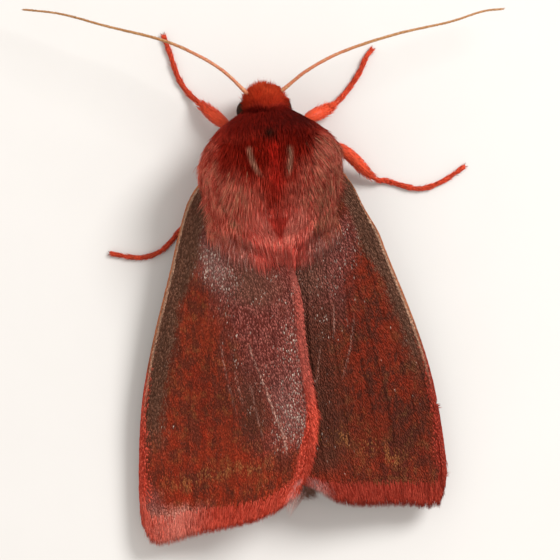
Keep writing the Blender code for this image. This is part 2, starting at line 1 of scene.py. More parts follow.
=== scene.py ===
"""A pink sallow moth at rest, life size: skin, coat, scaled wings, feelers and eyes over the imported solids.

Places are in millimetres, as x to the right of the body's midline, s back from the front of the head, and z
above the floor that the feet stand on. spot() turns them into the frame, with +Y towards the head, and a
finished mesh is scaled to metres.
"""

import math
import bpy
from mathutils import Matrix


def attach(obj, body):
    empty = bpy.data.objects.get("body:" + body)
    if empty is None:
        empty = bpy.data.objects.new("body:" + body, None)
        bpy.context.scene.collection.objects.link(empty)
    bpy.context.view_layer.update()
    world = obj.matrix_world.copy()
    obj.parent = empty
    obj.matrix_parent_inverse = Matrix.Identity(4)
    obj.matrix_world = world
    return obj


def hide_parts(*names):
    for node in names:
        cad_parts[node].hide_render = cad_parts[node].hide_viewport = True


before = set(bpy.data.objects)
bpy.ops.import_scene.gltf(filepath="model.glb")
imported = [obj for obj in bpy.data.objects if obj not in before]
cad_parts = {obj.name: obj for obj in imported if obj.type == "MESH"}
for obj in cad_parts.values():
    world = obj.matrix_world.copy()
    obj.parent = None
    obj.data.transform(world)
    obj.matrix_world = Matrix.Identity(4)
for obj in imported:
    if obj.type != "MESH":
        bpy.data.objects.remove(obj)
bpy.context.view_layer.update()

from copy import copy
from functools import reduce

import bmesh
import bpy
import numpy as np
from bpy.props import FloatProperty, FloatVectorProperty, IntProperty, PointerProperty
from mathutils import Matrix

bl_info = {
    "name": "Pink Sallow Moth",
    "version": (1, 0, 0),
    "blender": (4, 5, 0),
    "location": "3D View > Sidebar > Moth",
    "description": "Dresses the solids of a resting pink sallow moth in skin, hair and scales",
    "category": "Add Mesh",
}

# Sizes of the solids, repeated here because the script reads nothing but the frame
MM = 0.001
HEAD_S = 9.02            # the front of the head lies this far ahead of the origin
MIDLINE = -0.20          # and the body's midline this far to the right of it
LEFT, RIGHT = -1, 1
# The skin from head to tail: (s, half width, half height, height of the centre)
BODY = [
    (0.70, 0.42, 0.52, 2.55),
    (1.05, 0.80, 0.86, 2.50),
    (1.40, 0.93, 1.00, 2.45),
    (1.75, 0.90, 0.96, 2.50),
    (2.05, 1.20, 1.02, 2.68),
    (2.35, 1.82, 1.24, 2.90),
    (2.90, 2.34, 1.55, 3.10),
    (3.80, 2.62, 1.73, 3.35),
    (5.00, 2.64, 1.78, 3.40),
    (6.20, 2.42, 1.73, 3.35),
    (7.20, 1.94, 1.48, 3.08),
    (8.00, 1.34, 1.08, 2.62),
    (8.60, 1.28, 0.98, 2.16),
    (9.50, 1.58, 1.14, 1.98),
    (13.0, 1.64, 1.19, 1.92),
    (16.0, 1.47, 1.04, 1.76),
    (18.5, 1.12, 0.82, 1.60),
    (20.2, 0.60, 0.46, 1.50),
]
ABDOMEN_START, ABDOMEN_END = 8.6, 20.2
SEGMENTS = 7
# The outside of the thorax's coat, in the same columns
COAT = [
    (0.90, 1.05, 1.00, 2.95),
    (1.30, 1.16, 1.12, 2.98),
    (1.60, 1.58, 1.24, 3.02),
    (2.20, 2.40, 1.60, 3.06),
    (3.00, 3.20, 1.93, 3.35),
    (4.00, 3.62, 2.08, 3.60),
    (5.00, 3.68, 2.12, 3.65),
    (6.00, 3.55, 2.06, 3.65),
    (7.00, 3.25, 1.90, 3.60),
    (8.00, 2.85, 1.70, 3.50),
    (10.4, 2.20, 1.40, 3.40),
]
ROOT = [(0.20, 8.50), (-1.30, 8.22), (-2.35, 7.40), (-3.02, 6.00), (-3.25, 4.35)]
COSTA = [(-3.25, 4.35), (-4.40, 5.90), (-5.60, 9.40), (-6.75, 12.9), (-7.50, 16.0), (-7.92, 19.8),
         (-7.85, 21.8)]
OUTER = [(0.65, 19.8), (-0.40, 21.0), (-2.10, 21.85), (-5.00, 22.35), (-7.20, 22.75), (-7.85, 21.8)]
INNER = [(0.20, 8.50), (0.90, 10.4), (1.25, 13.3), (1.50, 17.0), (1.25, 18.7), (0.65, 19.8)]
RIGHT_NARROWER, RIGHT_SHORTER = 0.05, 0.045
VEINS = [k / 24 for k in (2, 5, 8, 11, 14, 17, 20, 22)]
# The roof that the folded wings make: (s, height of its ridge, half width to the costa, height of the costa)
ROOF = [
    (4.30, 3.85, 3.25, 3.20),
    (5.90, 3.88, 4.40, 2.90),
    (8.50, 3.95, 5.30, 2.35),
    (10.0, 4.08, 5.80, 2.10),
    (13.0, 4.08, 6.75, 1.70),
    (16.0, 3.80, 7.50, 1.45),
    (18.5, 3.38, 7.80, 1.30),
    (22.8, 2.60, 7.90, 1.20),
]
ROOF_ROUND = 1.8
LEFT_OVER, LEFT_COSTA, LEFT_EASE = 0.90, 0.30, (-1.5, -4.8)
SHEET_DROP = {LEFT: 0.38, RIGHT: 0.06}       # each membrane's top below the top of its solid
HIND_DROP = 0.97
HIND_ROOT = [(-2.72, 7.55), (-3.20, 6.70)]
HIND_COSTA = [(-3.20, 6.70), (-4.20, 9.50), (-5.50, 14.0), (-6.10, 18.2)]
HIND_OUTER = [(-2.00, 18.0), (-3.40, 19.3), (-5.20, 19.5), (-6.10, 18.2)]
HIND_INNER = [(-2.72, 7.55), (-2.36, 9.50), (-2.26, 14.0), (-2.00, 18.0)]
FEELER_LEFT = [(-0.92, 0.55, 3.22), (-1.98, -0.62, 3.60), (-3.26, -1.56, 3.70), (-5.00, -2.47, 3.55),
               (-7.65, -3.37, 3.20), (-9.90, -4.18, 2.75), (-11.9, -4.60, 2.20)]
FEELER_RIGHT = [(0.80, 0.52, 3.22), (2.22, -0.42, 3.60), (4.02, -1.18, 3.70), (6.70, -1.84, 3.45),
                (9.40, -2.25, 3.00), (11.1, -2.66, 2.60), (12.3, -2.72, 2.30)]
EYES, EYE_R = {LEFT: (-1.13, 1.38, 2.33), RIGHT: (0.82, 1.38, 2.33)}, (0.41, 0.52, 0.60)
# Each leg: coxa on the belly (x, s), knee and ankle (x, s, z), then the foot's path along the floor (x, s)
LEGS = {
    "foreleg_left": ((-0.72, 3.00), (-1.95, 2.10, 1.25), (-3.30, 0.82, 0.50),
                     [(-3.95, 0.10), (-4.38, -0.75), (-4.68, -1.95), (-4.94, -2.88)]),
    "foreleg_right": ((0.72, 3.00), (1.85, 2.05, 1.25), (3.25, 1.42, 0.50),
                      [(4.15, 0.62), (4.75, -0.15), (5.18, -0.92), (5.55, -1.35)]),
    "midleg_left": ((-1.00, 4.95), (-2.90, 5.05, 1.50), (-4.40, 6.60, 0.50),
                    [(-5.00, 7.20), (-5.90, 8.00), (-7.00, 8.25), (-8.50, 7.92)]),
    "midleg_right": ((1.00, 4.70), (3.15, 3.45, 1.60), (5.00, 5.12, 0.50),
                     [(5.75, 5.38), (7.30, 5.88), (8.55, 5.60), (9.75, 4.90)]),
    "hindleg_left": ((-0.95, 6.95), (-2.50, 7.95, 1.25), (-3.50, 12.0, 0.50),
                     [(-3.75, 12.9), (-4.10, 14.4), (-4.35, 15.8), (-4.75, 17.3)]),
    "hindleg_right": ((0.95, 6.95), (2.45, 7.95, 1.25), (3.35, 12.1, 0.50),
                      [(3.60, 13.0), (3.90, 14.5), (4.05, 15.9), (4.40, 17.4)]),
}
SPURS = {"foreleg": (), "midleg": (0.62,), "hindleg": (0.52, 0.74)}
TOES = 5
SHIN_WIDTH = {"foreleg": 0.34, "midleg": 0.27, "hindleg": 0.24}
PALP = [(0.41, 0.98, 1.06), (0.44, 0.50, 1.12), (0.42, 0.27, 1.60), (0.40, 0.30, 2.05)]
PALP_R = (0.16, 0.20, 0.19, 0.08)
# The mouth's cone, from inside the head down to the palps' roots
MOUTH = [(0.0, 1.35, 2.15), (0.0, 1.15, 1.60), (0.0, 0.98, 1.14)]
MOUTH_R = (0.74, 0.68, 0.42)
MOUTH_ACROSS = (0.9, 0.1, 0.05)         # a direction that no line of the mouth takes
MANTLE_REACH = 2.7                      # roots of the thorax's upper hair reach this far to each side
HEAD_HAIR, FRINGE_HAIR = 0.060, 0.045   # widths of hairs that no setting changes
FEELER_R, FEELER_TIP_R = 0.084, 0.045
SKIN_VOXEL = 0.078
SKIN_TINT = 0.35                        # the skin's own place among the hair's tints
LEG_NEAR, LEG_TOP = 0.16, 2.1           # skin so near a leg's surface and below that height has its finish
HEAD_BALL, HEAD_RADII = (-0.13, 1.14, 2.72), (1.19, 1.17, 1.34)     # the outside of the head's hair
TAIL_ROOTS = (18.9, 20.1)               # the tail's brush grows between these s
MOTH_HEIGHT = 2.6                       # the picture's width is measured at this height


# Reading tables and lines


def blend(a, b, share):
    """From a at share 0 to b at share 1."""
    return a + (b - a) * share


def smooth(value, low, high):
    """From 0 at low to 1 at high, with soft ends; low may be the larger."""
    share = np.clip((value - low) / (high - low), 0.0, 1.0)
    return share * share * (3 - 2 * share)


def curve_through(knots, steps=24):
    """Points of a smooth curve through the knots, which are rows of an array."""
    knots = np.asarray(knots, float)
    ends = np.vstack([knots[0] * 2 - knots[1], knots, knots[-1] * 2 - knots[-2]])
    t = np.linspace(0, 1, steps, endpoint=False)[:, None]
    parts = []
    for a, b, c, d in zip(ends, ends[1:], ends[2:], ends[3:]):
        bow, twist = a * 2 - b * 5 + c * 4 - d, b * 3 - a - c * 3 + d
        parts.append((b * 2 + (c - a) * t + bow * t**2 + twist * t**3) / 2)
    return np.vstack([*parts, knots[-1:]])


class Line:
    """A smooth line through a few points, read at shares of its length."""

    def __init__(self, knots):
        self.points = curve_through(knots)
        steps = np.linalg.norm(np.diff(self.points, axis=0), axis=1)
        reach = np.concatenate([[0.0], np.cumsum(steps)])
        self.share = reach / reach[-1]

    def __call__(self, share):
        return np.stack([np.interp(share, self.share, column) for column in self.points.T], -1)

    def onward(self, share, step):
        """The line's direction at each share, taken over a step to both sides."""
        return unit(self(np.minimum(share + step, 1.0)) - self(np.maximum(share - step, 0.0)))


class Profile:
    """A table's columns on a smooth curve through its rows, read at stations of its first column."""

    def __init__(self, table):
        points = curve_through(table)
        self.s, self.columns = points[:, 0], points[:, 1:].T

    def __call__(self, s):
        return [np.interp(s, self.s, column) for column in self.columns]


BODY_AT, COAT_AT, ROOF_AT = Profile(BODY), Profile(COAT), Profile(ROOF)


def spot(x, s, z):
    """Places in the frame, still in millimetres."""
    return np.stack(np.broadcast_arrays(x + MIDLINE, HEAD_S - s, z), -1).astype(float)


def unit(vectors):
    """The vectors at length 1."""
    return vectors / np.maximum(np.linalg.norm(vectors, axis=-1, keepdims=True), 1e-9)


def turned(turn, across, lift):
    """The directions that far round from across towards lift."""
    return across * np.cos(turn)[:, None] + lift * np.sin(turn)[:, None]


def round_share(turn):
    """A turn from the top of the body as a share of the OFBake map's width."""
    return 0.5 + turn / math.tau * 0.96


# Wings as surfaces


def plan_of(inner, costa, root, outer):
    """Where a wing's point lies from above: u from root to outer margin, v from inner margin to costa."""
    inner, costa, root, outer = Line(inner), Line(costa), Line(root), Line(outer)

    def place(u, v):
        a, b = u[..., None], v[..., None]
        corners = (
            root(0.0) * (1 - a) * (1 - b) + root(1.0) * (1 - a) * b
            + outer(0.0) * a * (1 - b) + outer(1.0) * a * b
        )
        return inner(u) * (1 - b) + costa(u) * b + root(v) * (1 - a) + outer(v) * a - corners

    return place


FOREWING = plan_of(INNER, COSTA, ROOT, OUTER)
HINDWING = plan_of(HIND_INNER, HIND_COSTA, HIND_ROOT, HIND_OUTER)
FRONT_EDGE = np.array(sorted(COSTA[:0:-1] + ROOT[::-1] + INNER[1:4], key=lambda place: place[0]))
FAR_OUT = -9.0           # stands for no wing at a place


def roof(side, x, s):
    """Height of a forewing's upper face above the floor, as its solid has it."""
    ridge, half_width, costa = ROOF_AT(s)
    share = np.minimum(np.abs(x) / half_width, 1.1)
    height = costa + (ridge - costa) * (1 - share**ROOF_ROUND)
    if side == LEFT:
        height = height + blend(LEFT_OVER, LEFT_COSTA, smooth(x, *LEFT_EASE))
    return height


def on_side(side, points, u):
    """x and s on the plan of the left wing, mirrored and made a little smaller for the right one."""
    x, s = points[..., 0], points[..., 1]
    if side == RIGHT:
        x = -x * (1 - RIGHT_NARROWER * u)
        s = s - RIGHT_SHORTER * (s - ROOT[-1][1]) * u
    return x, s


# Where the right costa is hollow or nicked: (u, half length, depth in v)
WEAR = ((0.110, 0.130, 0.052), (0.735, 0.012, 0.020), (0.945, 0.010, 0.034))


def relief(side, u, v):
    """Veins, soft folds between them and the rolled costa, as a height over the plain sheet."""
    height = -0.16 * smooth(v, 0.965, 1.0)
    fan = v + 0.02 * np.sin(u * 5.0)
    for k, vein in enumerate(VEINS):
        strength = 0.055 * smooth(u, 0.06, 0.25) * (1 - 0.5 * smooth(u, 0.85, 1.0))
        height = height + strength * np.exp(-(((fan - vein - 0.02 * math.sin(k * 2.1)) / 0.011) ** 2))
    return height + 0.02 * np.sin(fan * 46.0 + side) * smooth(u, 0.5, 0.95)


def hem_room(u):
    """Share of the width that the left forewing's membrane leaves to the fringe of its inner margin."""
    return 0.036 * smooth(u, 0.10, 0.45) + 0.034 * smooth(u, 0.70, 0.86) + 0.065 * smooth(u, 0.84, 1.0)


def on_forewing(side, u, v):
    """The place, in millimetres of the frame, of a point of a forewing's membrane."""
    if side == LEFT:
        v = v + (1 - v) * hem_room(u)
    else:
        for middle, half, depth in WEAR:
            v = v - depth * smooth(half - np.abs(u - middle), 0, half) * smooth(v, 0.9, 1.0)
    x, s = on_side(side, FOREWING(u, v), u)
    return spot(x, s, roof(side, x, s) - SHEET_DROP[side] + relief(side, u, v))


def on_hindwing(side, u, v):
    """The same of a hindwing's membrane."""
    x, s = on_side(side, HINDWING(u, v), u)
    folds = 0.05 * np.sin(v * 19.0) * smooth(u, 0.1, 0.6)
    return spot(x, s, roof(side, x, s) - HIND_DROP + folds)


def wing_frame(surface, side, u, v, step=0.004):
    """Places on a wing with their directions towards the outer margin and out of the upper face."""
    here = surface(side, u, v)
    along = unit(surface(side, np.minimum(u + step, 1.0), v) - surface(side, np.minimum(u, 1.0 - step), v))
    across = unit(surface(side, u, np.minimum(v + step, 1.0)) - surface(side, u, np.minimum(v, 1.0 - step)))
    up = unit(np.cross(along, across))
    return here, along, np.where(up[..., 2:] < 0, -up, up)


def cover_height(x, s):
    """Height of the uppermost wing under a place, and how far that place is inside the wing's front edge."""
    height, inside = np.full(np.shape(x), FAR_OUT), np.full(np.shape(x), FAR_OUT)
    for side in (RIGHT, LEFT):
        across = -x * side
        depth = s - np.interp(across, FRONT_EDGE[:, 0], FRONT_EDGE[:, 1])
        depth = np.where((across < FRONT_EDGE[0, 0]) | (across > FRONT_EDGE[-1, 0]), FAR_OUT, depth)
        top = roof(side, x, s) - SHEET_DROP[side]
        height = np.where(depth > -0.6, np.maximum(height, top), height)
        inside = np.maximum(inside, depth)
    return height, inside


def over_wings(points, clear):
    """Lifts places, in millimetres of the frame, so that they clear the wings under them."""
    x, s, z = points[..., 0] - MIDLINE, HEAD_S - points[..., 1], points[..., 2]
    top, inside = cover_height(x, s)
    lifted = np.maximum(z, top + clear)
    share = smooth(inside, -0.6, 0.0)
    return spot(x, s, blend(z, lifted, share))


# Body as surfaces


def shoulder(side, s):
    """How much wider the coat is on that side: the right shoulder stands forward, the left further back."""
    keys = [1.2, 1.8, 2.5, 3.0, 3.7, 4.4, 5.6, 7.2]
    right = np.interp(s, keys, [-0.14, -0.09, 0.01, 0.03, 0.03, -0.01, -0.09, -0.07])
    left = np.interp(s, keys, [0.0, 0.02, 0.05, 0.01, 0.02, 0.045, -0.02, 0.0])
    return np.where(side > 0, right, left)


def over_body(turn, s, out):
    """Places at that turn from the top of the body: out 0 on the skin, 1 on the coat's outside."""
    half_width, half_height, centre = [blend(a, b, out) for a, b in zip(BODY_AT(s), COAT_AT(s))]
    half_width = half_width * (1 + out * shoulder(np.sin(turn), s))
    return spot(half_width * np.sin(turn), s, centre + half_height * np.cos(turn))


def on_skin(turn, s, proud=0.0):
    """Places on the skin at that turn from the top, or that far out from it."""
    half_width, half_height, centre = BODY_AT(s)
    return spot((half_width + proud) * np.sin(turn), s, centre + (half_height + proud) * np.cos(turn))


def outward(turn, s):
    """The directions out of the skin."""
    half_width, half_height, _ = BODY_AT(s)
    flat = np.zeros_like(turn)
    return unit(np.stack([np.sin(turn) / half_width, flat, np.cos(turn) / half_height], -1))


def segment_share(s):
    """How many of the abdomen's segments lie before s."""
    return (s - ABDOMEN_START) / (ABDOMEN_END - ABDOMEN_START) * SEGMENTS


def segment_step(s):
    """How proud the abdomen stands at s, with the rear edge of each segment over the front of the next."""
    share = segment_share(s)
    return np.where((share > 0) & (share < SEGMENTS), 0.09 * (share % 1.0) ** 2, 0.0)


class Limb:
    """A leg as a line in the frame, in millimetres, with its radius along it."""

    def __init__(self, name):
        coxa, knee, ankle, path = LEGS[name]
        pair = name.split("_")[0]
        _, half_height, centre = BODY_AT(coxa[1])
        self.thick = SHIN_WIDTH[pair] + (0.04 if name == "midleg_right" else 0.0)
        knots = [(coxa[0], coxa[1], centre - half_height * 0.6), (coxa[0], coxa[1], 0.98), knee, ankle]
        radii = [0.36, 0.33, 0.18, 0.13]
        for k, (x, s) in enumerate(path):
            radius = blend(0.125, 0.100, (k + 1) / len(path))
            knots.append((x, s, radius + 0.03))
            radii.append(radius)
        self.line = Line([spot(*knot) for knot in knots])
        shares = np.linspace(0, 1, 200)
        places = self.line(shares)
        at = [shares[np.argmin(np.linalg.norm(places - spot(*knot), axis=1))] for knot in knots]
        at[0], at[-1] = 0.0, 1.0
        self.knee, self.ankle = at[2], at[3]
        self.shares, self.radii = at, radii

    def radius(self, share):
        """Thick in the middle of thigh and shin, and with a bead for each joint of the foot."""
        plain = np.interp(share, self.shares, self.radii)
        thigh = np.clip((share - self.shares[1]) / (self.knee - self.shares[1]), 0, 1)
        shin = np.clip((share - self.knee) / (self.ankle - self.knee), 0, 1)
        foot = np.clip((share - self.ankle) / (1 - self.ankle), 0, 1)
        swell = 0.07 * np.sin(np.pi * thigh) + (self.thick - 0.155) * np.sin(np.pi * shin) ** 0.7
        bead = 1 + 0.36 * (((foot * TOES) % 1.0) ** 2 - 0.33) * (foot > 0) * (foot < 1)
        return (plain + swell) * bead

    def frames(self, share):
        """Places on the line with their directions onwards and two across it."""
        here = self.line(share)
        onward = self.line.onward(share, 0.004)
        across = unit(np.cross(onward, np.broadcast_to([0.13, 0.21, 0.97], onward.shape)))
        return here, onward, across, unit(np.cross(across, onward))


LIMBS = {name: Limb(name) for name in LEGS}


# Meshes and nodes


def add_object(name, data):
    """A new object in the scene."""
    made = bpy.data.objects.new(name, data)
    bpy.context.scene.collection.objects.link(made)
    return made


def make_piece(name, mesh, material):
    """A finished piece of the moth, which rides on its one body."""
    piece = add_object(name, mesh)
    mesh.name = name
    mesh.materials.clear()
    mesh.materials.append(material)
    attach(piece, "root")
    return piece


def evaluated_mesh(thing):
    """The plain mesh that an object's modifiers make. The object is removed."""
    graph = bpy.context.evaluated_depsgraph_get()
    done = thing.evaluated_get(graph)
    mesh = bpy.data.meshes.new_from_object(done, preserve_all_data_layers=True, depsgraph=graph)
    bpy.data.objects.remove(thing)
    return mesh


def read(items, key, kind=np.int32, width=1):
    """One property of all items, as an array."""
    values = np.empty(len(items) * width, kind)
    items.foreach_get(key, values)
    return values


def set_layer(mesh, name, values, kind="FLOAT_VECTOR"):
    """Stores one value for each point of a mesh under a name."""
    layer = mesh.attributes.new(name, kind, "POINT")
    key = "value" if kind == "FLOAT" else "vector"
    layer.data.foreach_set(key, np.ascontiguousarray(values, dtype=np.float32).ravel())


def socket(sockets, key):
    """A node's socket by number, or the one of that name which is in use."""
    if isinstance(key, int):
        return sockets[key]
    return next(s for s in sockets if s.name == key and s.enabled)


class Value:
    """An output of a node. Sums with it become nodes of its web, and a tuple scales it as a vector."""

    def __init__(self, web, source):
        self.web = web
        self.socket = source

    def __add__(self, other):
        return self.web.math("ADD", self, other)

    def __radd__(self, other):
        return self.web.math("ADD", other, self)

    def __sub__(self, other):
        return self.web.math("SUBTRACT", self, other)

    def __rsub__(self, other):
        return self.web.math("SUBTRACT", other, self)

    def __mul__(self, other):
        if isinstance(other, tuple):
            return self.web.vector("MULTIPLY", self, other)
        return self.web.math("MULTIPLY", self, other)

    def __rmul__(self, other):
        return self.web.math("MULTIPLY", other, self)

    def __abs__(self):
        return self.web.math("ABSOLUTE", self)

    def step(self, low, high):
        """From 0 at low to 1 at high, smoothly; low may be the larger."""
        ready = {0: self, 1: low, 2: high}
        return self.web.out("ShaderNodeMapRange", ready, interpolation_type="SMOOTHSTEP")

    def bump_at(self, middle, half):
        """1 at the middle and 0 beyond half a width from it."""
        return abs(self - middle).step(half, 0.0)

    def within(self, start, full, fade, end):
        """1 between full and fade, sinking to 0 at start and end."""
        return self.step(start, full) * self.step(end, fade)

    def between(self, a, b):
        """The number a where this is 0, and b where it is 1."""
        return self.web.mixed(self, a, b, "FLOAT")


class Web:
    """Shorthand for the nodes of one tree."""

    def __init__(self, tree):
        self.tree = tree

    def fill(self, entry, value):
        """Links a value to an input, or sets it there; a colour comes without its alpha."""
        value = getattr(value, "socket", value)
        if isinstance(value, bpy.types.NodeSocket):
            self.tree.links.new(value, entry)
        else:
            entry.default_value = (*value, 1.0) if entry.type == "RGBA" else value

    def node(self, kind, inputs=None, **settings):
        made = self.tree.nodes.new(kind)
        for key, value in settings.items():
            setattr(made, key, value)
        for key, value in (inputs or {}).items():
            self.fill(socket(made.inputs, key), value)
        return made

    def out(self, kind, inputs=None, output=0, **settings):
        """One output of a new node."""
        return Value(self, socket(self.node(kind, inputs, **settings).outputs, output))

    def math(self, operation, *values):
        return self.out("ShaderNodeMath", dict(enumerate(values)), operation=operation)

    def most(self, *values):
        """The largest of the values."""
        return reduce(lambda a, b: self.math("MAXIMUM", a, b), values)

    def vector(self, operation, *values):
        return self.out("ShaderNodeVectorMath", dict(enumerate(values)), operation=operation)

    def scaled(self, vector, scale):
        return self.out("ShaderNodeVectorMath", {0: vector, 3: scale}, operation="SCALE")

    def joined(self, x, y, z=0.0):
        return self.out("ShaderNodeCombineXYZ", {0: x, 1: y, 2: z})

    def split(self, vector):
        return [Value(self, part) for part in self.node("ShaderNodeSeparateXYZ", {0: vector}).outputs]

    def mixed(self, factor, a, b, kind="RGBA", how="MIX"):
        """The colour, vector or number a where the factor is 0, and b where it is 1."""
        first, output = {"RGBA": (6, 2), "VECTOR": (4, 1), "FLOAT": (2, 0)}[kind]
        ready = {0: factor, first: a, first + 1: b}
        return self.out("ShaderNodeMix", ready, output, data_type=kind, blend_type=how, clamp_factor=True)

    def shaded(self, colour, tone):
        """A colour made darker or lighter."""
        return self.mixed(1.0, colour, self.joined(tone, tone, tone), how="MULTIPLY")

    def chosen(self, tint, salt, share):
        """1 on that share of the blades, picked by each one's own tint."""
        pick = self.out("ShaderNodeTexWhiteNoise", {"W": tint * salt}, "Value", noise_dimensions="1D")
        return self.math("LESS_THAN", pick, share)

    def noise(self, vector, scale, detail=2.0, rough=0.5):
        return self.out("ShaderNodeTexNoise", {0: vector, 2: scale, 3: detail, 4: rough})

    def attribute(self, name, output="Fac"):
        return self.out("ShaderNodeAttribute", {}, output, attribute_name=name)

    def stored(self, geometry, label, kind, value, domain="POINT"):
        ready = {"Geometry": geometry, "Name": label, "Value": value}
        return self.out("GeometryNodeStoreNamedAttribute", ready, data_type=kind, domain=domain)


# Geometry Nodes: blades for hair and scales, feelers and eyes


def new_tree(name, inputs):
    """A new tree's shorthand, and its start mesh and named inputs as values."""
    tree = bpy.data.node_groups.new(name, "GeometryNodeTree")
    tree.interface.new_socket("Start", in_out="INPUT", socket_type="NodeSocketGeometry")
    tree.interface.new_socket("Result", in_out="OUTPUT", socket_type="NodeSocketGeometry")
    for label, (kind, value) in inputs.items():
        entry = tree.interface.new_socket(label, in_out="INPUT", socket_type="NodeSocket" + kind)
        entry.default_value = value
    tree.interface.new_socket("Finish", in_out="INPUT", socket_type="NodeSocketMaterial")
    web = Web(tree)
    return web, {s.name: Value(web, s) for s in tree.nodes.new("NodeGroupInput").outputs}


def finished(web, given, geometry):
    """Ends a tree: the geometry takes on the finish and becomes the result."""
    geometry = web.out("GeometryNodeSetMaterial", {0: geometry, "Material": given["Finish"]})
    web.fill(web.tree.nodes.new("NodeGroupOutput").inputs[0], geometry)
    return web.tree


def run_tree(name, mesh, tree, values):
    """The plain mesh that a tree makes from a start mesh with those inputs."""
    guide = add_object(name, mesh)
    made = guide.modifiers.new(name, "NODES")
    made.node_group = tree
    keys = {s.name: s.identifier for s in tree.interface.items_tree if s.in_out == "INPUT"}
    for label, value in values.items():
        made[keys[label]] = value
    return evaluated_mesh(guide)


def blade_tree():
    """Puts a flat, tapered and bent blade on every root, and its patch on the OFBake map."""
    web, given = new_tree("Blades", {
        "Sides": ("Int", 3),
        "Steps": ("Int", 3),
        "Foot": ("Float", 0.60),
        "Belly": ("Float", 1.90),
        "Flatness": ("Float", 0.40),
        "Width Spread": ("Float", 0.30),
        "Patch": ("Float", 0.003),
        "Seed": ("Int", 1),
    })

    def named(label, kind="FLOAT_VECTOR"):
        return web.out("GeometryNodeInputNamedAttribute", {"Name": label}, "Attribute", data_type=kind)

    cone = web.out("GeometryNodeMeshCone", {
        "Vertices": given["Sides"], "Side Segments": given["Steps"], "Radius Top": 0.0, "Radius Bottom": 1.0,
        "Depth": 1.0,
    })
    blade = web.stored(cone, "shape", "FLOAT_VECTOR", web.out("GeometryNodeInputPosition"))
    ready = {"Min": 0.0, "Max": 1.0, "Seed": given["Seed"]}
    draw = web.out("FunctionNodeRandomValue", ready, "Value", data_type="FLOAT")
    roots = web.stored(given["Start"], "tint", "FLOAT", draw)
    coat = web.out("GeometryNodeInstanceOnPoints", {"Points": roots, "Instance": blade})
    coat = web.out("GeometryNodeRealizeInstances", {0: coat})

    x, y, t = web.split(named("shape"))
    first = web.mixed(t, named("root"), named("bend"), "VECTOR")
    second = web.mixed(t, named("bend"), named("tip"), "VECTOR")
    middle = web.mixed(t, first, second, "VECTOR")
    width = named("width", "FLOAT") * (1.0 + (named("tint", "FLOAT") - 0.5) * given["Width Spread"])
    width = width * (given["Foot"] + given["Belly"] * t)
    across = web.scaled(named("side"), x * width)
    thick = web.scaled(named("up"), y * width * given["Flatness"])
    final = web.vector("ADD", web.vector("ADD", middle, across), thick)
    coat = web.out("GeometryNodeSetPosition", {"Geometry": coat, "Position": final})
    u, v, _ = web.split(named("unwrap"))
    half = given["Patch"] * 0.5
    corner = web.joined(u + x * half, v + (t - 0.5 + y * 0.15) * given["Patch"])
    coat = web.stored(coat, "OFBake", "FLOAT2", corner, "CORNER")
    coat = web.stored(coat, "along", "FLOAT", t)
    return finished(web, given, web.out("GeometryNodeSetShadeSmooth", {0: coat}))


class Roots:
    """Roots of blades, each with a bent path from root over bend to tip, in millimetres of the frame."""

    def __init__(self, root, bend, tip, up, width, unwrap, field=None):
        onward = unit(tip - root)
        side = unit(np.cross(onward, up))
        up = unit(np.cross(side, onward))
        field = np.zeros_like(root) if field is None else field
        unwrap = np.column_stack([unwrap[0], unwrap[1], np.zeros(len(root))])
        self.layers = {
            "root": root, "bend": bend, "tip": tip, "side": side, "up": up, "unwrap": unwrap, "field": field,
        }
        self.width = np.broadcast_to(width, len(root)).astype(float)

    def kept(self, mask):
        made = copy(self)
        made.layers = {name: values[mask] for name, values in self.layers.items()}
        made.width = self.width[mask]
        return made

    def plus(self, *others):
        made = copy(self)
        every = (self, *others)
        made.layers = {name: np.vstack([r.layers[name] for r in every]) for name in self.layers}
        made.width = np.concatenate([r.width for r in every])
        return made


# Layers that only the blades' tree reads, taken off the finished mesh
WORK_LAYERS = ("bend", "tip", "side", "up", "unwrap", "shape", "root", "width")


def grow(name, roots, material, seed, sides=3, steps=3, foot=0.60, belly=1.90, flat=0.40, spread=0.5):
    """A coat piece: one blade for each root, as a plain closed mesh."""
    mesh = bpy.data.meshes.new(name)
    mesh.vertices.add(len(roots.width))
    mesh.vertices.foreach_set("co", (roots.layers["root"] * MM).ravel())
    for layer, values in roots.layers.items():
        scale = MM if layer in ("root", "bend", "tip") else 1.0
        set_layer(mesh, layer, values * scale)
    set_layer(mesh, "width", roots.width * MM, "FLOAT")
    tree = bpy.data.node_groups.get("Blades") or blade_tree()
    made = run_tree(name, mesh, tree, {
        "Sides": sides, "Steps": steps, "Foot": foot, "Belly": belly, "Flatness": flat,
        "Width Spread": spread, "Seed": seed, "Finish": material,
    })
    for layer in WORK_LAYERS:
        if layer in made.attributes:
            made.attributes.remove(made.attributes[layer])
    return make_piece(name, made, material)


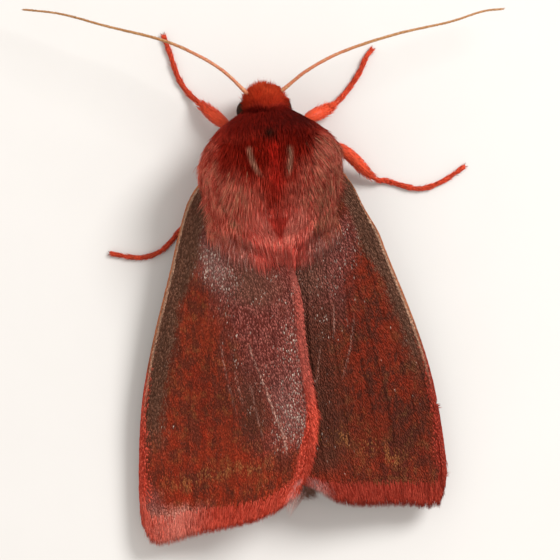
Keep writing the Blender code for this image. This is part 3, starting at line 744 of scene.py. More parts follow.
def feeler_tree():
    """Winds rings along a line: each joint of the feeler is a little wider at its far end."""
    web, given = new_tree("Feeler", {
        "Joints": ("Int", 72),
        "Root Radius": ("Float", 0.0001),
        "Tip Radius": ("Float", 0.00004),
        "Scape": ("Float", 0.25),
        "Joint Depth": ("Float", 0.22),
        "Sides": ("Int", 10),
    })
    line = web.out("GeometryNodeMeshToCurve", {0: given["Start"]})
    line = web.out("GeometryNodeResampleCurve", {"Curve": line, "Count": given["Joints"] * 5.0})
    share = web.out("GeometryNodeSplineParameter", {}, "Factor")
    radius = share.step(0.0, 1.0).between(given["Root Radius"], given["Tip Radius"])
    saw = web.math("FRACT", share * given["Joints"])
    radius = radius * (1.0 + given["Joint Depth"] * (saw - 0.5))
    radius = radius * (1.0 + given["Scape"] * share.step(0.07, 0.02))
    radius = radius * share.step(0.985, 1.0).between(1.0, 0.35)
    circle = web.out("GeometryNodeCurvePrimitiveCircle", {"Resolution": given["Sides"], "Radius": 1.0})
    tube = web.out("GeometryNodeCurveToMesh", {
        "Curve": line, "Profile Curve": circle, "Scale": radius, "Fill Caps": True,
    })
    tube = web.out("GeometryNodeRealizeInstances", {0: tube})
    return finished(web, given, web.stored(tube, "along", "FLOAT", 0.5))


def eye_tree():
    """A ball of six-sided lenses, each a low dome."""
    web, given = new_tree("Eye", {
        "Fineness": ("Int", 5),
        "Radii": ("Vector", (0.0004, 0.0006, 0.0006)),
        "Centre": ("Vector", (0.0, 0.0, 0.0)),
        "Dome": ("Float", 0.010),
        "Lens": ("Float", 0.68),
    })
    ball = web.out("GeometryNodeMeshIcoSphere", {"Radius": 1.0, "Subdivisions": given["Fineness"]})
    ball = web.out("GeometryNodeDualMesh", {0: ball})
    raised = web.node("GeometryNodeExtrudeMesh", {
        "Mesh": ball, "Offset Scale": given["Dome"], "Individual": True,
    })
    ready = {"Geometry": raised.outputs[0], "Selection": raised.outputs["Top"], "Scale": given["Lens"]}
    ball = web.out("GeometryNodeScaleElements", ready)
    scaled = web.vector("MULTIPLY", web.out("GeometryNodeInputPosition"), given["Radii"])
    final = web.vector("ADD", scaled, given["Centre"])
    ball = web.out("GeometryNodeSetPosition", {"Geometry": ball, "Position": final})
    return finished(web, given, web.out("GeometryNodeRealizeInstances", {0: ball}))


# Finishes


def new_material(name, **uniform):
    """A material with one shader whose uniform values are set on its sockets."""
    made = bpy.data.materials.new(name)
    made.use_nodes = True
    web = Web(made.node_tree)
    shader = made.node_tree.nodes["Principled BSDF"]
    for label, value in uniform.items():
        shader.inputs[label.replace("_", " ")].default_value = value
    return made, web, shader


def place_nodes(web):
    """x, s and z of a point in millimetres, from Object coordinates, and the three as one vector."""
    x, y, z = web.split(web.scaled(web.out("ShaderNodeTexCoord", {}, "Object"), 1 / MM))
    x, s = x - MIDLINE, HEAD_S - y
    return x, s, z, web.joined(x, s, z)


def colour_in(web, shader, colour):
    """Colours a shader."""
    web.fill(shader.inputs["Base Color"], colour)


def bump_in(web, shader, height, strength, distance):
    """Gives a shader a relief."""
    bump = web.out("ShaderNodeBump", {"Strength": strength, "Distance": distance, "Height": height})
    web.fill(shader.inputs["Normal"], bump)


def hair_tone(web, colour, place, pale, dark=0.52, grain=9.0, tips=0.30):
    """Shades a coat hair by hair: dark and bright strands, lighter tips, and fine streaks along the lie."""
    tint, along = web.attribute("tint"), web.attribute("along")
    streaks = web.noise(place * (1.0, 0.22, 1.0), grain, 3.0, 0.6)
    tone = dark + tint * 0.66 + streaks * 0.55 + along * 0.22
    shaded = web.shaded(colour, tone)
    light = along.step(0.35, 1.0) * tint.step(0.45, 1.0) * tips
    return web.mixed(light, shaded, pale)


# The thorax's pale streaks: x at the front, bend in x, first and last s
STREAKS = ((-1.04, 0.52, 3.25, 4.85), (0.98, -0.22, 3.35, 4.95))


def fur_sides(web, tones, at):
    """The red thorax with its paler, patched sides; also the dark red behind the collar."""
    x, s, _, place, tint, wide, _, fine, s_soft, wide_soft = at
    reach = wide_soft + s.step(4.3, 5.8) * 0.9
    side = reach.step(1.0, 2.7) * (s_soft + fine * 1.2).step(2.3, 3.9)
    colour = web.mixed(side, tones.thorax, tones.flank)
    patches = web.noise(place * (1.0, 0.6, 1.0), 1.5, 3.0, 0.65)
    dim = web.chosen(tint, 71.0, side * (0.16 + patches.step(0.44, 0.6) * 0.42))
    colour = web.mixed(dim * 0.85, colour, tones.thorax)
    cloud = web.noise(place * (1.0, 0.45, 1.0), 2.4, 3.0, 0.7)
    colour = web.mixed(side * cloud.step(0.5, 0.64) * 0.62, colour, tones.crimson)
    colour = web.mixed(side * cloud.step(0.46, 0.34) * 0.5, colour, tones.tan)
    dusky = side * s.within(4.7, 5.3, 6.3, 7.0) * x.step(-0.4, 0.4).between(0.22, 0.5)
    colour = web.mixed(dusky, colour, tones.crimson)
    leftward = x.step(0.0, -0.6)
    ruby = (s_soft - leftward * 0.5).within(2.0, 2.6, 3.6, 4.8)
    ruby = ruby * (wide_soft - leftward * 0.45).step(2.9, 1.9)
    colour = web.mixed(ruby * 0.95, colour, tones.ruby)
    beside = 0.04 + patches.step(0.52, 0.36) * 0.3
    shoulders = x.step(1.6, 2.6) * s.step(2.6, 3.4) * 0.16
    beside = beside * s.step(3.8, 4.8) + shoulders
    tan = web.chosen(tint, 57.0, wide.step(0.8, 1.5) * beside)
    colour = web.mixed(tan * 0.85, colour, tones.tan)
    return colour, ruby


def fur_rear(web, tones, at, colour):
    """The pink rear hair, the crest before it and the dark tuft in it."""
    x, s, _, _, tint, _, drift, fine, s_soft, _ = at
    off_seam = abs(x - 0.15)
    off_seam = off_seam + drift * 0.8 + fine * 0.8
    rear = s_soft.step(5.9, 7.3) * off_seam.step(2.2, 1.0)
    colour = web.mixed(rear, colour, tones.rear)
    rosy = web.chosen(tint, 23.0, rear * 0.3)
    colour = web.mixed(rosy * 0.8, colour, tones.tip)
    crest = x.bump_at(0.2, 0.6) * s.within(2.8, 3.3, 4.9, 6.2)
    colour = web.mixed(crest * 0.85, colour, tones.crest)
    # A dark tuft, widest in front, between two paler ones
    wedge = 0.56 - (s - 6.9) * 0.47
    off = abs(x - 0.13) - wedge
    arms = off.step(-0.05, 0.15) * off.step(1.15, 0.45) * s.within(6.5, 6.95, 7.9, 8.6)
    paler = arms * tint.step(0.1, 0.6) * (0.5 + x * 0.16)
    colour = web.mixed(paler, colour, tones.tip)
    wedge = off.step(0.05, -0.13) * s.within(6.7, 6.95, 8.0, 8.25)
    colour = web.mixed(wedge * 0.95, colour, tones.wedge)
    return colour


def fur_front(web, tones, at, colour):
    """The pale streaks, the collar and the orange head; also the last two."""
    x, s, z, _, tint, wide, drift, fine, s_soft, _ = at
    for front, bow, first, last in STREAKS:
        share = (s - first) * (1 / (last - first))
        line = x - (front + bow * share * share)
        ends = s.within(first - 0.15, first + 0.2, last - 0.5, last + 0.1)
        pale = line.bump_at(0.0, 0.25) * ends * tint.step(0.1, 0.5) * 0.66
        colour = web.mixed(pale, colour, tones.streak)
        colour = web.mixed(line.bump_at(-0.27, 0.2) * ends * 0.6, colour, tones.collar)
    # The collar's dark maroon is partly its own dark red and partly painted shade on its front, which slopes
    # down to the head
    collar = s_soft.step(0.9, 1.55) * s_soft.step(3.6, 2.2) * (wide + drift * 0.8).step(3.1, 1.7)
    collar = collar * z.step(2.3, 3.0)
    colour = web.mixed(collar * 0.96, colour, tones.collar)
    head = s_soft.step(1.42, 1.05) * wide.step(1.7, 1.3)
    warm = web.mixed((fine + 0.5).step(0.3, 0.7), tones.head, tones.head_light)
    behind = (s + fine * 1.4).step(0.45, 1.05)
    warm = web.mixed(behind * 0.64, warm, tones.ruby)
    colour = web.mixed(head, colour, warm)
    return colour, collar, head


def fur_material(tones):
    """Orange head, dark collar, red thorax with two pale streaks, pink rear hair and belly, with painted
    shade on the collar's front, on the tail's right side and on the coat's right half, and painted light on
    its left half.
    """
    made, web, shader = new_material("body_fur", Roughness=0.75, Specular_IOR_Level=0.06)
    x, s, z, place = place_nodes(web)
    tint = web.attribute("tint")
    wide = abs(x)
    drift = web.noise(place, 1.1, 2.0) - 0.5
    fine = web.noise(place * (1.0, 0.3, 1.0), 2.3, 3.0, 0.6) - 0.5
    s_soft = s + drift * 0.9
    wide_soft = wide + drift * 1.1 + fine * 0.8
    at = (x, s, z, place, tint, wide, drift, fine, s_soft, wide_soft)
    colour, ruby = fur_sides(web, tones, at)
    colour = fur_rear(web, tones, at, colour)
    colour, collar, head = fur_front(web, tones, at, colour)
    belly = web.most(s.step(8.0, 9.2) * z.step(3.9, 3.3), z.step(2.3, 1.6))
    belly = belly * s.step(1.2, 2.0)
    colour = web.mixed(belly * 0.8, colour, tones.belly)
    # Over the wings' roots the hair takes on their grey
    fade = (s + fine * 1.8 + (tint - 0.5) * 0.5).step(7.5, 8.7)
    fade = fade * wide_soft.step(0.9, 1.9) * z.step(2.4, 2.9) * 0.85
    grey = web.mixed(tint.step(-0.1, 0.8), tones.plum, tones.ash)
    colour = web.mixed(fade, colour, web.mixed(web.chosen(tint, 83.0, 0.14) * 0.6, grey, tones.pale))
    pale = s.step(19.2, 20.6) * (1.0 - web.chosen(tint, 31.0, 0.45) * 0.75)
    colour = web.mixed(pale, colour, tones.tail)
    # Painted shade: the tail hairs that spread to the right, into the gap under the right forewing, take a
    # dark slate colour that stands for the shadow there
    gloom = x + fine * 0.5 + (tint - 0.5) * 0.7
    gloom = gloom.step(-0.1, 0.45) * s.step(19.9, 20.3) * z.step(0.7, 1.05) * 0.92
    colour = web.mixed(gloom, colour, tones.slate)
    nape = x.bump_at(0.05, 0.5) * s.bump_at(2.6, 0.42) * fine.step(-0.14, 0.0)
    colour = web.mixed(nape * 0.85, colour, tones.eye)
    tips = (1.0 - web.most(collar, head, ruby)) * 0.2
    # Painted light and shade: the whole coat is lighter to the left of the midline and darker to the right,
    # by 8 percent for each millimetre
    painted_side_shade = 1.0 - x * 0.08
    colour = web.shaded(colour, painted_side_shade)
    colour = hair_tone(web, colour, place, web.mixed(0.5, colour, tones.tip), 0.44, tips=tips)
    colour_in(web, shader, colour)
    bump_in(web, shader, web.noise(place * (1.0, 0.25, 1.0), 14.0, 2.0), 0.4, 0.03 * MM)
    return made


def leg_material(tones):
    """Orange-red legs, browner towards the claws."""
    made, web, shader = new_material("leg_hair", Roughness=0.42, Specular_IOR_Level=0.16)
    _, _, z, place = place_nodes(web)
    patch = web.noise(place, 1.6, 3.0, 0.6)
    colour = web.mixed(patch.step(0.5, 0.72) * 0.6, tones.leg, tones.leg_dark)
    colour = web.mixed(z.step(0.9, 0.2) * 0.35, colour, tones.fringe)
    colour = hair_tone(web, colour, place, tones.tip, 0.6, 7.0, 0.12)
    colour_in(web, shader, colour)
    bump_in(web, shader, web.noise(place, 16.0, 2.0), 0.25, 0.015 * MM)
    return made


# Thin pale lines on the left forewing: first and last u, v at the first, v lost for each u, and strength
PALE_LINES = (
    (0.36, 0.56, 0.345, 0.520, 0.9),
    (0.50, 0.80, 0.270, 0.350, 0.9),
    (0.38, 0.62, 0.520, 0.410, 0.4),
    (0.50, 0.72, 0.345, 0.220, 0.4),
    (0.45, 0.60, 0.430, 0.300, 0.4),
    (0.62, 0.79, 0.215, 0.300, 0.5),
)
# The same for the right one
PALE_MARKS = ((0.27, 0.42, 0.47, 0.30, 0.5), (0.34, 0.56, 0.60, 0.72, 0.5), (0.40, 0.58, 0.35, 0.25, 0.4))


def wing_ground(web, tones, field, place):
    """Rust field with olive and dusky patches, warmer on the right forewing, and brown towards the margin;
    the right forewing's ground is darkened and dulled as painted shade.
    """
    u, v, right, tint = field
    slow = web.noise(place, 0.45, 3.0, 0.55) - 0.5
    quick = web.noise(place * (1.0, 0.55, 1.0), 2.2, 3.0, 0.65) - 0.5
    jitter = tint - 0.5
    fleck = web.noise(place * (1.0, 0.4, 1.0), 5.0, 2.0, 0.6) - 0.5
    mottle = 0.5 + quick * 1.7 + fleck * 1.3 + slow * 1.6
    mottle = mottle + jitter * 0.16
    colour = web.mixed(mottle.step(0.25, 0.8), tones.dusk, tones.rust)
    vivid = (web.noise(place, 0.8, 2.0, 0.6) + jitter * 0.08).step(0.52, 0.66)
    colour = web.mixed(vivid * 0.32, colour, tones.ember)
    olive = web.noise(place, 1.25, 3.0, 0.6) + jitter * 0.1 + fleck * 0.5
    olive = olive.step(0.53, 0.7)
    colour = web.mixed(olive * 0.52, colour, tones.olive)
    glow = right * v.within(0.45, 0.58, 0.78, 0.9) * u.within(0.12, 0.25, 0.6, 0.8)
    colour = web.mixed(glow * mottle.step(0.2, 0.7) * 0.5, colour, tones.ember)
    low = (1.0 - right) * u.step(0.42, 0.75) * v.step(0.4, 0.66)
    colour = web.mixed(low * mottle.step(0.1, 0.7) * 0.24, colour, tones.ember)
    # Painted shade: the right forewing's ground is made darker and duller than the left's, less so towards
    # the margin
    painted_right_shade = web.mixed(u.step(0.76, 0.86), (0.66, 0.78, 0.85), (0.86, 0.86, 0.92))
    return web.mixed(1.0, colour, web.mixed(right, (1.0, 1.0, 1.0), painted_right_shade), how="MULTIPLY")


def wing_inner(web, tones, at, colour):
    """The grey-brown inner field with its shades; also the field, its part near the root and the shade."""
    u, _, uu, vv, left, right, tint, streak, _, _ = at
    border = 0.6 - u * 0.14 - u * u * 0.42
    border = border + u.step(0.25, 0.11) * right.between(0.2, 0.22)
    border = border - left * u.within(0.28, 0.4, 0.62, 0.76) * 0.08
    ragged = vv - border - streak * 0.2
    inner = ragged.step(0.2, -0.14) * uu.within(0.02, 0.08, 0.7, 0.84)
    grain = web.mixed(tint.step(0.15, 0.95), tones.plum, tones.ash)
    base_only = right.between(1.0, uu.step(0.42, 0.22))
    colour = web.mixed(inner * base_only * 0.86, colour, grain)
    shade = right * vv.step(0.52, 0.36) * uu.within(0.14, 0.3, 0.84, 0.92)
    colour = web.mixed(shade * 0.8, colour, tones.shade)
    gloom = (vv + streak * 0.1).bump_at(0.35, 0.15)
    gloom = left * uu.bump_at(0.58, 0.2) * gloom
    colour = web.mixed(gloom * 0.95, colour, tones.shade)
    frost = left * uu.bump_at(0.155, 0.115) * vv.bump_at(0.6, 0.26) * 0.62
    silver = left * uu.bump_at(0.62, 0.2) * vv.bump_at(0.17, 0.12) * 0.4
    colour = web.mixed(web.most(frost, silver), colour, tones.frost)
    smoke = vv.bump_at(0.3, 0.26) * uu.within(0.03, 0.1, 0.18, 0.26)
    colour = web.mixed(smoke * 0.6, colour, tones.slate_light)
    return colour, inner, base_only, shade


def wing_pale(web, tones, at, colour, group, inner, base_only, shade):
    """White scales, mostly in loose groups, and the pale lines."""
    u, v, _, _, left, right, tint, _, _, quick = at
    base = u.bump_at(0.15, 0.12) * v.bump_at(0.6, 0.27) * right.between(0.36, 0.1)
    edge = left * v.within(0.04, 0.05, 0.1, 0.2) * u.within(0.24, 0.34, 0.66, 0.76) * 0.13
    fan = left * v.within(0.05, 0.08, 0.18, 0.27) * u.within(0.48, 0.6, 0.74, 0.8) * 0.21
    amount = inner * base_only * group * 0.13 + base + edge + fan + right * shade * group * 0.06
    # Only the narrower scales are pale, and most of all at their tips
    narrow = tint.step(0.55, 0.5)
    white = web.chosen(tint, 91.0, (amount + 0.0015) * 2.2)
    white = white * narrow * web.attribute("along").step(0.15, 0.5)
    glint = web.chosen(tint, 37.0, 0.4)
    colour = web.mixed(white * glint.between(0.42, 0.92), colour, tones.pale)
    lines = 0.0
    for mark in PALE_LINES + PALE_MARKS:
        first, last, start, fall, strength = mark
        track = start - (u - first) * fall
        line = (v - track).bump_at(0.0, 0.008) * u.within(first, first + 0.03, last - 0.06, last)
        line = line * (right if mark in PALE_MARKS else left) * strength
        lines = web.most(lines, line)
    lines = lines * (tint + quick * 2.0).step(-0.1, 0.45)
    colour = web.mixed(lines, colour, tones.pale_line)
    return colour


def wing_strip(web, tones, at, colour):
    """The strip behind the costa and the broken line before the margin; also the strip itself."""
    u, v, uu, vv, left, right, tint, streak, jitter, quick = at
    border = vv + right * (-0.035 + u * -0.05)
    border = border + u.step(0.34, 0.16) * 0.09
    reach = right.between(uu.step(0.8, 0.64), uu.step(0.66, 0.5))
    strip = border.step(0.8, 0.865) * reach
    ash = web.mixed(tint.step(0.1, 0.9), tones.slate, tones.slate_light)
    colour = web.mixed(strip * 0.92, colour, ash)
    wave = right.between(0.775 + v * 0.08, 0.63 + v * 0.3)
    wave = wave + web.math("SINE", v * 40.0) * 0.01 + quick * 0.03
    ochre = (uu - wave).bump_at(0.0, right.between(0.034, 0.05)) * v.within(0.2, 0.34, 0.72, 0.84)
    broken = (streak + jitter * 0.3).step(right.between(-0.06, 0.02), 0.13)
    colour = web.mixed(ochre * broken * 0.8, colour, tones.ochre)
    rays = streak.step(0.03, 0.14) * u.within(0.8, 0.87, 0.93, 0.96) * v.step(0.78, 0.6)
    colour = web.mixed(rays * left * 0.5, colour, tones.ember)
    ashen = left * uu.bump_at(0.88, 0.055) * vv.bump_at(0.88, 0.11)
    colour = web.mixed(ashen * 0.8, colour, tones.ash)
    return colour, strip


def wing_margin(web, tones, at, colour):
    """The red margin and hem, and the pale patch near the wing tip."""
    u, v, uu, vv, left, right, tint, streak, jitter, quick = at
    cloud = left * uu.bump_at(0.945, 0.078) * vv.bump_at(0.77, 0.26)
    salmon = cloud * (streak + jitter * 0.5).step(-0.38, 0.04)
    corner = v.step(0.3, 0.1) * left * 0.045
    margin = uu + abs(v - 0.5) * 0.02 + corner
    margin = margin.step(0.925, 0.965)
    hem = v + quick * 0.02 - u.step(0.64, 0.82) * left * 0.055
    hem = hem.step(0.06, 0.034) * u.step(0.05, 0.25)
    edge_red = vv + u.step(0.5, 0.95) * 0.07
    edge_red = edge_red.step(0.955, 0.99) * u.step(0.42, 0.62)
    red = web.most(margin, hem, edge_red)
    crimson = web.mixed(tint.step(0.15, 0.9), tones.fringe, tones.fringe_light)
    # Painted shade: the right forewing's red margin is made darker than the left's
    crimson = web.mixed(1.0, crimson, web.mixed(right, (1.0, 1.0, 1.0), (0.66, 0.6, 0.6)), how="MULTIPLY")
    greyer = u.step(0.7, 0.45) * v.step(0.3, 0.1) * left * 0.38
    colour = web.mixed(red, colour, web.mixed(greyer, crimson, tones.frost))
    colour = web.mixed(salmon * 0.92, colour, tones.salmon)
    wisp = right.between(v.step(0.1, 0.03), v.bump_at(0.26, 0.1))
    wisp = wisp * u.step(0.95, 0.98) * web.attribute("along").step(0.3, 0.8) * 0.5
    colour = web.mixed(wisp, colour, tones.tail)
    return colour


def wing_material(tones):
    """The forewing's pattern, from its field layer: u from root to margin, v from inner margin to costa."""
    made, web, shader = new_material("wing_scales", Roughness=0.7, Specular_IOR_Level=0.08)
    u, v, side = web.split(web.attribute("field", "Vector"))
    tint = web.attribute("tint")
    _, _, _, place = place_nodes(web)
    left, right = side.step(0.5, -0.5), side.step(-0.5, 0.5)
    slow = web.noise(place, 0.42, 3.0, 0.55) - 0.5
    quick = web.noise(place, 2.6, 3.0, 0.65) - 0.5
    streak = web.noise(web.joined(u * 5.0, v * 30.0, side), 1.0, 2.0, 0.6) - 0.5
    jitter = tint - 0.5
    vv = v + slow * 0.14 + quick * 0.05 + jitter * 0.05
    uu = u + slow * 0.05 + streak * 0.035 + jitter * 0.012
    colour = wing_ground(web, tones, (u, v, right, tint), place)
    at = (u, v, uu, vv, left, right, tint, streak, jitter, quick)
    colour, inner, base_only, shade = wing_inner(web, tones, at, colour)
    group = web.noise(place, 1.3, 2.0).step(0.5, 0.66)
    colour = wing_pale(web, tones, at, colour, group, inner, base_only, shade)
    colour, strip = wing_strip(web, tones, at, colour)
    colour = wing_margin(web, tones, at, colour)
    line = v.within(0.962, 0.972, 0.978, 0.99) * u.step(0.72, 0.5)
    line = line * (u - right * 0.05).step(0.0, 0.05)
    colour = web.mixed(line * 0.85, colour, tones.costa_pale)
    line = v.step(0.98, 0.99) * u.step(0.62, 0.42)
    colour = web.mixed(line * 0.9, colour, tones.costa)

    grain = web.most(inner, strip).between(0.2, 0.5)
    tone = 0.86 + jitter * grain + streak * 0.5 + web.attribute("along") * 0.2
    # Painted shade: the whole right forewing is made darker than the left
    tone = tone * right.between(1.0, 0.84)
    colour = web.shaded(colour, tone)
    colour_in(web, shader, colour)
    rows = web.noise(web.joined(u * 95.0, v * 110.0, side), 1.0, 2.0)
    bump_in(web, shader, rows, 0.2, 0.012 * MM)
    return made


def hindwing_material(tones):
    """Dull pink, clouded with pale, and redder at the margin."""
    made, web, shader = new_material("hindwing_scales", Roughness=0.7, Specular_IOR_Level=0.08)
    u, v, _ = web.split(web.attribute("field", "Vector"))
    _, _, _, place = place_nodes(web)
    cloud = web.noise(place, 1.3, 3.0)
    colour = web.mixed(cloud.step(0.0, 1.1), tones.belly, tones.tail)
    colour = web.mixed(u.step(0.86, 0.97), colour, tones.fringe_light)
    colour = hair_tone(web, colour, place, tones.tip, 0.55, 10.0)
    colour_in(web, shader, colour)
    rows = web.noise(web.joined(u * 90.0, v * 60.0), 1.0, 2.0)
    bump_in(web, shader, rows, 0.5, 0.02 * MM)
    return made


def feeler_material(tones):
    """Ochre feelers, pinker towards the head, with patches of pale scales."""
    made, web, shader = new_material("feeler_scales", Roughness=0.5, Specular_IOR_Level=0.35)
    x, s, _, place = place_nodes(web)
    ready = {0: web.joined(x, s), 1: (0.0, 0.6, 0.0)}
    reach = web.out("ShaderNodeVectorMath", ready, "Value", operation="DISTANCE")
    colour = web.mixed(reach.step(3.0, 6.5), tones.feeler_root, tones.feeler)
    grain = web.noise(place, 9.0, 2.0)
    colour = web.mixed(grain.step(0.45, 0.7), colour, tones.feeler_light)
    colour_in(web, shader, colour)
    bump_in(web, shader, web.noise(place, 22.0, 2.0), 0.3, 0.015 * MM)
    return made


def eye_material(tones):
    """Dark, glossy and faintly mottled."""
    made, web, shader = new_material("eye_lens", Roughness=0.36, Specular_IOR_Level=0.05)
    _, _, _, place = place_nodes(web)
    colour = web.mixed(web.noise(place, 3.0, 2.0).step(0.4, 0.65), tones.eye, tones.eye_brown)
    colour_in(web, shader, colour)
    bump_in(web, shader, web.noise(place, 30.0, 1.0), 0.15, 0.01 * MM)
    return made


def claw_material(tones):
    """Horn, darker towards the tip."""
    made, web, shader = new_material("claw_horn", Roughness=0.35, Specular_IOR_Level=0.5)
    _, _, _, place = place_nodes(web)
    colour = web.mixed(web.attribute("along").step(0.1, 0.8), tones.leg, tones.claw)
    colour_in(web, shader, colour)
    bump_in(web, shader, web.noise(place, 20.0, 1.0), 0.2, 0.01 * MM)
    return made


MAKERS = {
    "body_fur": fur_material,
    "leg_hair": leg_material,
    "wing_scales": wing_material,
    "hindwing_scales": hindwing_material,
    "feeler_scales": feeler_material,
    "eye_lens": eye_material,
    "claw_horn": claw_material,
}


def finish_of(name, scene):
    """A material by name, made when it is first asked for."""
    return bpy.data.materials.get(name) or MAKERS[name](scene.moth_tones)


# Settings


def tone(label, default):
    """A colour that a user can change."""
    return FloatVectorProperty(
        name=label, description=f"Colour of the {label.lower()}", subtype="COLOR", size=3, min=0.0, max=1.0,
        default=default,
    )


class MothTones(bpy.types.PropertyGroup):
    """Colours of the moth."""

    head: tone("Head tuft", (0.34, 0.023, 0.006))
    head_light: tone("Head tuft's lighter hair", (0.46, 0.047, 0.014))
    # Painted shade is part of the collar's colour: its front slopes down to the head
    collar: tone("Collar", (0.090, 0.0024, 0.0006))
    ruby: tone("Dark red behind the collar", (0.185, 0.006, 0.0015))
    thorax: tone("Thorax", (0.30, 0.020, 0.010))
    crest: tone("Hair along the thorax's middle", (0.38, 0.012, 0.006))
    flank: tone("Thorax's sides", (0.60, 0.150, 0.102))
    crimson: tone("Dark patches in the thorax's sides", (0.33, 0.045, 0.028))
    tan: tone("Tan hair on the thorax", (0.40, 0.175, 0.100))
    rear: tone("Rear hair", (0.56, 0.075, 0.055))
    wedge: tone("Dark tuft at the thorax's end", (0.41, 0.030, 0.019))
    streak: tone("Pale streaks on the thorax", (0.40, 0.23, 0.15))
    belly: tone("Belly and abdomen", (0.36, 0.14, 0.11))
    tail: tone("Tail tuft", (0.92, 0.68, 0.63))
    tip: tone("Hair tips", (0.70, 0.22, 0.16))
    rust: tone("Forewing", (0.315, 0.041, 0.0158))
    dusk: tone("Forewing's darker patches", (0.165, 0.031, 0.0158))
    olive: tone("Forewing's olive patches", (0.25, 0.088, 0.030))
    ember: tone("Forewing's glowing patches", (0.42, 0.031, 0.0095))
    plum: tone("Inner field", (0.140, 0.027, 0.021))
    ash: tone("Inner field's greyer scales", (0.30, 0.094, 0.077))
    frost: tone("Grey patch near the wing's root", (0.28, 0.145, 0.125))
    shade: tone("Right forewing's dark inner field", (0.120, 0.038, 0.023))
    pale: tone("White scales", (0.80, 0.62, 0.52))
    pale_line: tone("Pale lines", (0.52, 0.28, 0.22))
    slate: tone("Costal strip", (0.105, 0.045, 0.026))
    slate_light: tone("Costal strip's lighter scales", (0.155, 0.074, 0.047))
    costa: tone("Costal line", (0.56, 0.20, 0.09))
    costa_pale: tone("Costal line's pale edge", (0.62, 0.36, 0.24))
    ochre: tone("Broken line near the margin", (0.36, 0.13, 0.045))
    salmon: tone("Pale patch near the wing tip", (0.90, 0.42, 0.33))
    fringe: tone("Fringe", (0.45, 0.038, 0.019))
    fringe_light: tone("Fringe's lighter hair", (0.66, 0.094, 0.056))
    leg: tone("Legs", (0.56, 0.060, 0.021))
    leg_dark: tone("Legs' darker patches", (0.34, 0.060, 0.026))
    feeler: tone("Feelers", (0.40, 0.18, 0.060))
    feeler_light: tone("Feelers' pale scales", (0.54, 0.30, 0.14))
    feeler_root: tone("Feelers' roots", (0.56, 0.17, 0.085))
    eye: tone("Eye", (0.010, 0.0045, 0.002))
    eye_brown: tone("Eye's brown patches", (0.045, 0.020, 0.008))
    claw: tone("Claws", (0.08, 0.030, 0.015))
    floor: tone("Floor", (0.72, 0.712, 0.695))


class MothCoat(bpy.types.PropertyGroup):
    """Sizes of the coat."""

    seed: IntProperty(name="Seed", description="Start of the coat's random draws", default=11)
    density: FloatProperty(name="Density", description="Share of the coat's hair that is grown", default=1.0,
                           min=0.05, max=1.2)
    hair_width: FloatProperty(name="Hair width", description="Width of a hair of the thorax",
                              default=0.000056, unit="LENGTH", precision=6)
    scale_width: FloatProperty(name="Scale width", description="Width of a wing's scale",
                               default=0.000062, unit="LENGTH", precision=6)
    scale_length: FloatProperty(name="Scale length", description="Length of a wing's scale",
                                default=0.00025, unit="LENGTH", precision=6)

    def many(self, count):
        """That count of hairs at this density."""
        return max(8, int(count * self.density))


class MothStage(bpy.types.PropertyGroup):
    """Camera, floor and light."""

    frame_width: FloatProperty(name="Frame width", description="Width of the picture at the moth",
                               default=0.028, unit="LENGTH")
    distance: FloatProperty(name="Camera distance", description="Height of the camera over the moth",
                            default=0.30, unit="LENGTH")
    turn: FloatProperty(name="Camera turn", description="Turn of the camera about the vertical",
                        default=math.radians(-4.5), subtype="ANGLE")
    centre: FloatVectorProperty(name="Picture centre", description="Place under the middle of the picture",
                                size=2, default=(-0.00023, -0.00091), unit="LENGTH", precision=6)
    key: FloatProperty(name="Key light", description="Power of the key light", default=0.90, unit="POWER")
    sky: FloatProperty(name="Sky", description="Strength of the light from all round", default=0.80)


# Skin


def ring_loft(bm, rings):
    """Adds a closed surface through rings of like point count."""
    made = [[bm.verts.new(p) for p in ring] for ring in rings]
    count = len(made[0])
    for low, high in zip(made, made[1:]):
        for k in range(count):
            bm.faces.new((low[k], low[(k + 1) % count], high[(k + 1) % count], high[k]))
    bm.faces.new(made[0][::-1])
    bm.faces.new(made[-1])


def tube_rings(here, across, lift, radius, sides=20):
    """Rings of points round the places of a line."""
    turn = np.linspace(0, math.tau, sides, endpoint=False)
    ring = across[:, None] * np.cos(turn)[None, :, None] + lift[:, None] * np.sin(turn)[None, :, None]
    return here[:, None] + ring * radius[:, None, None]


def mouth_lines():
    """The two palps and the mouth's cone, each as a line with radii spread evenly along it."""
    made = []
    for side, knots, radii in ((LEFT, PALP, PALP_R), (RIGHT, PALP, PALP_R), (0, MOUTH, MOUTH_R)):
        made.append((Line([spot(side * x, s, z) for x, s, z in knots]), radii))
    return made


def skin_mesh():
    """Body, palps and legs as closed surfaces that run into each other, then one skin round them all."""
    bm = bmesh.new()
    s = np.linspace(BODY[0][0], BODY[-1][0], 150)
    turn = np.linspace(0, math.tau, 44, endpoint=False)
    rings = np.stack([on_skin(turn, np.full(44, station), segment_step(station)) for station in s])
    ring_loft(bm, rings)
    for limb in LIMBS.values():
        share = np.linspace(0, 1, 120)
        here, _, across, lift = limb.frames(share)
        ring_loft(bm, tube_rings(here, across, lift, limb.radius(share)))
    for line, radii in mouth_lines():
        share = np.linspace(0, 1, 24)
        here = line(share)
        onward = unit(np.gradient(here, axis=0))
        across = unit(np.cross(onward, MOUTH_ACROSS))
        radius = np.interp(share, np.linspace(0, 1, len(radii)), radii)
        ring_loft(bm, tube_rings(here, across, unit(np.cross(across, onward)), radius, 14))
    bmesh.ops.recalc_face_normals(bm, faces=bm.faces)
    mesh = bpy.data.meshes.new("skin")
    bm.to_mesh(mesh)
    bm.free()
    body = add_object("skin", mesh)
    remesh = body.modifiers.new("one skin", "REMESH")
    remesh.mode = "VOXEL"
    remesh.voxel_size = SKIN_VOXEL
    relax = body.modifiers.new("relax", "SMOOTH")
    relax.iterations = 5
    made = evaluated_mesh(body)
    made.transform(Matrix.Scale(MM, 4))
    made.shade_smooth()
    return made


FLESH = ("head", "thorax", "abdomen", "palp", "leg")


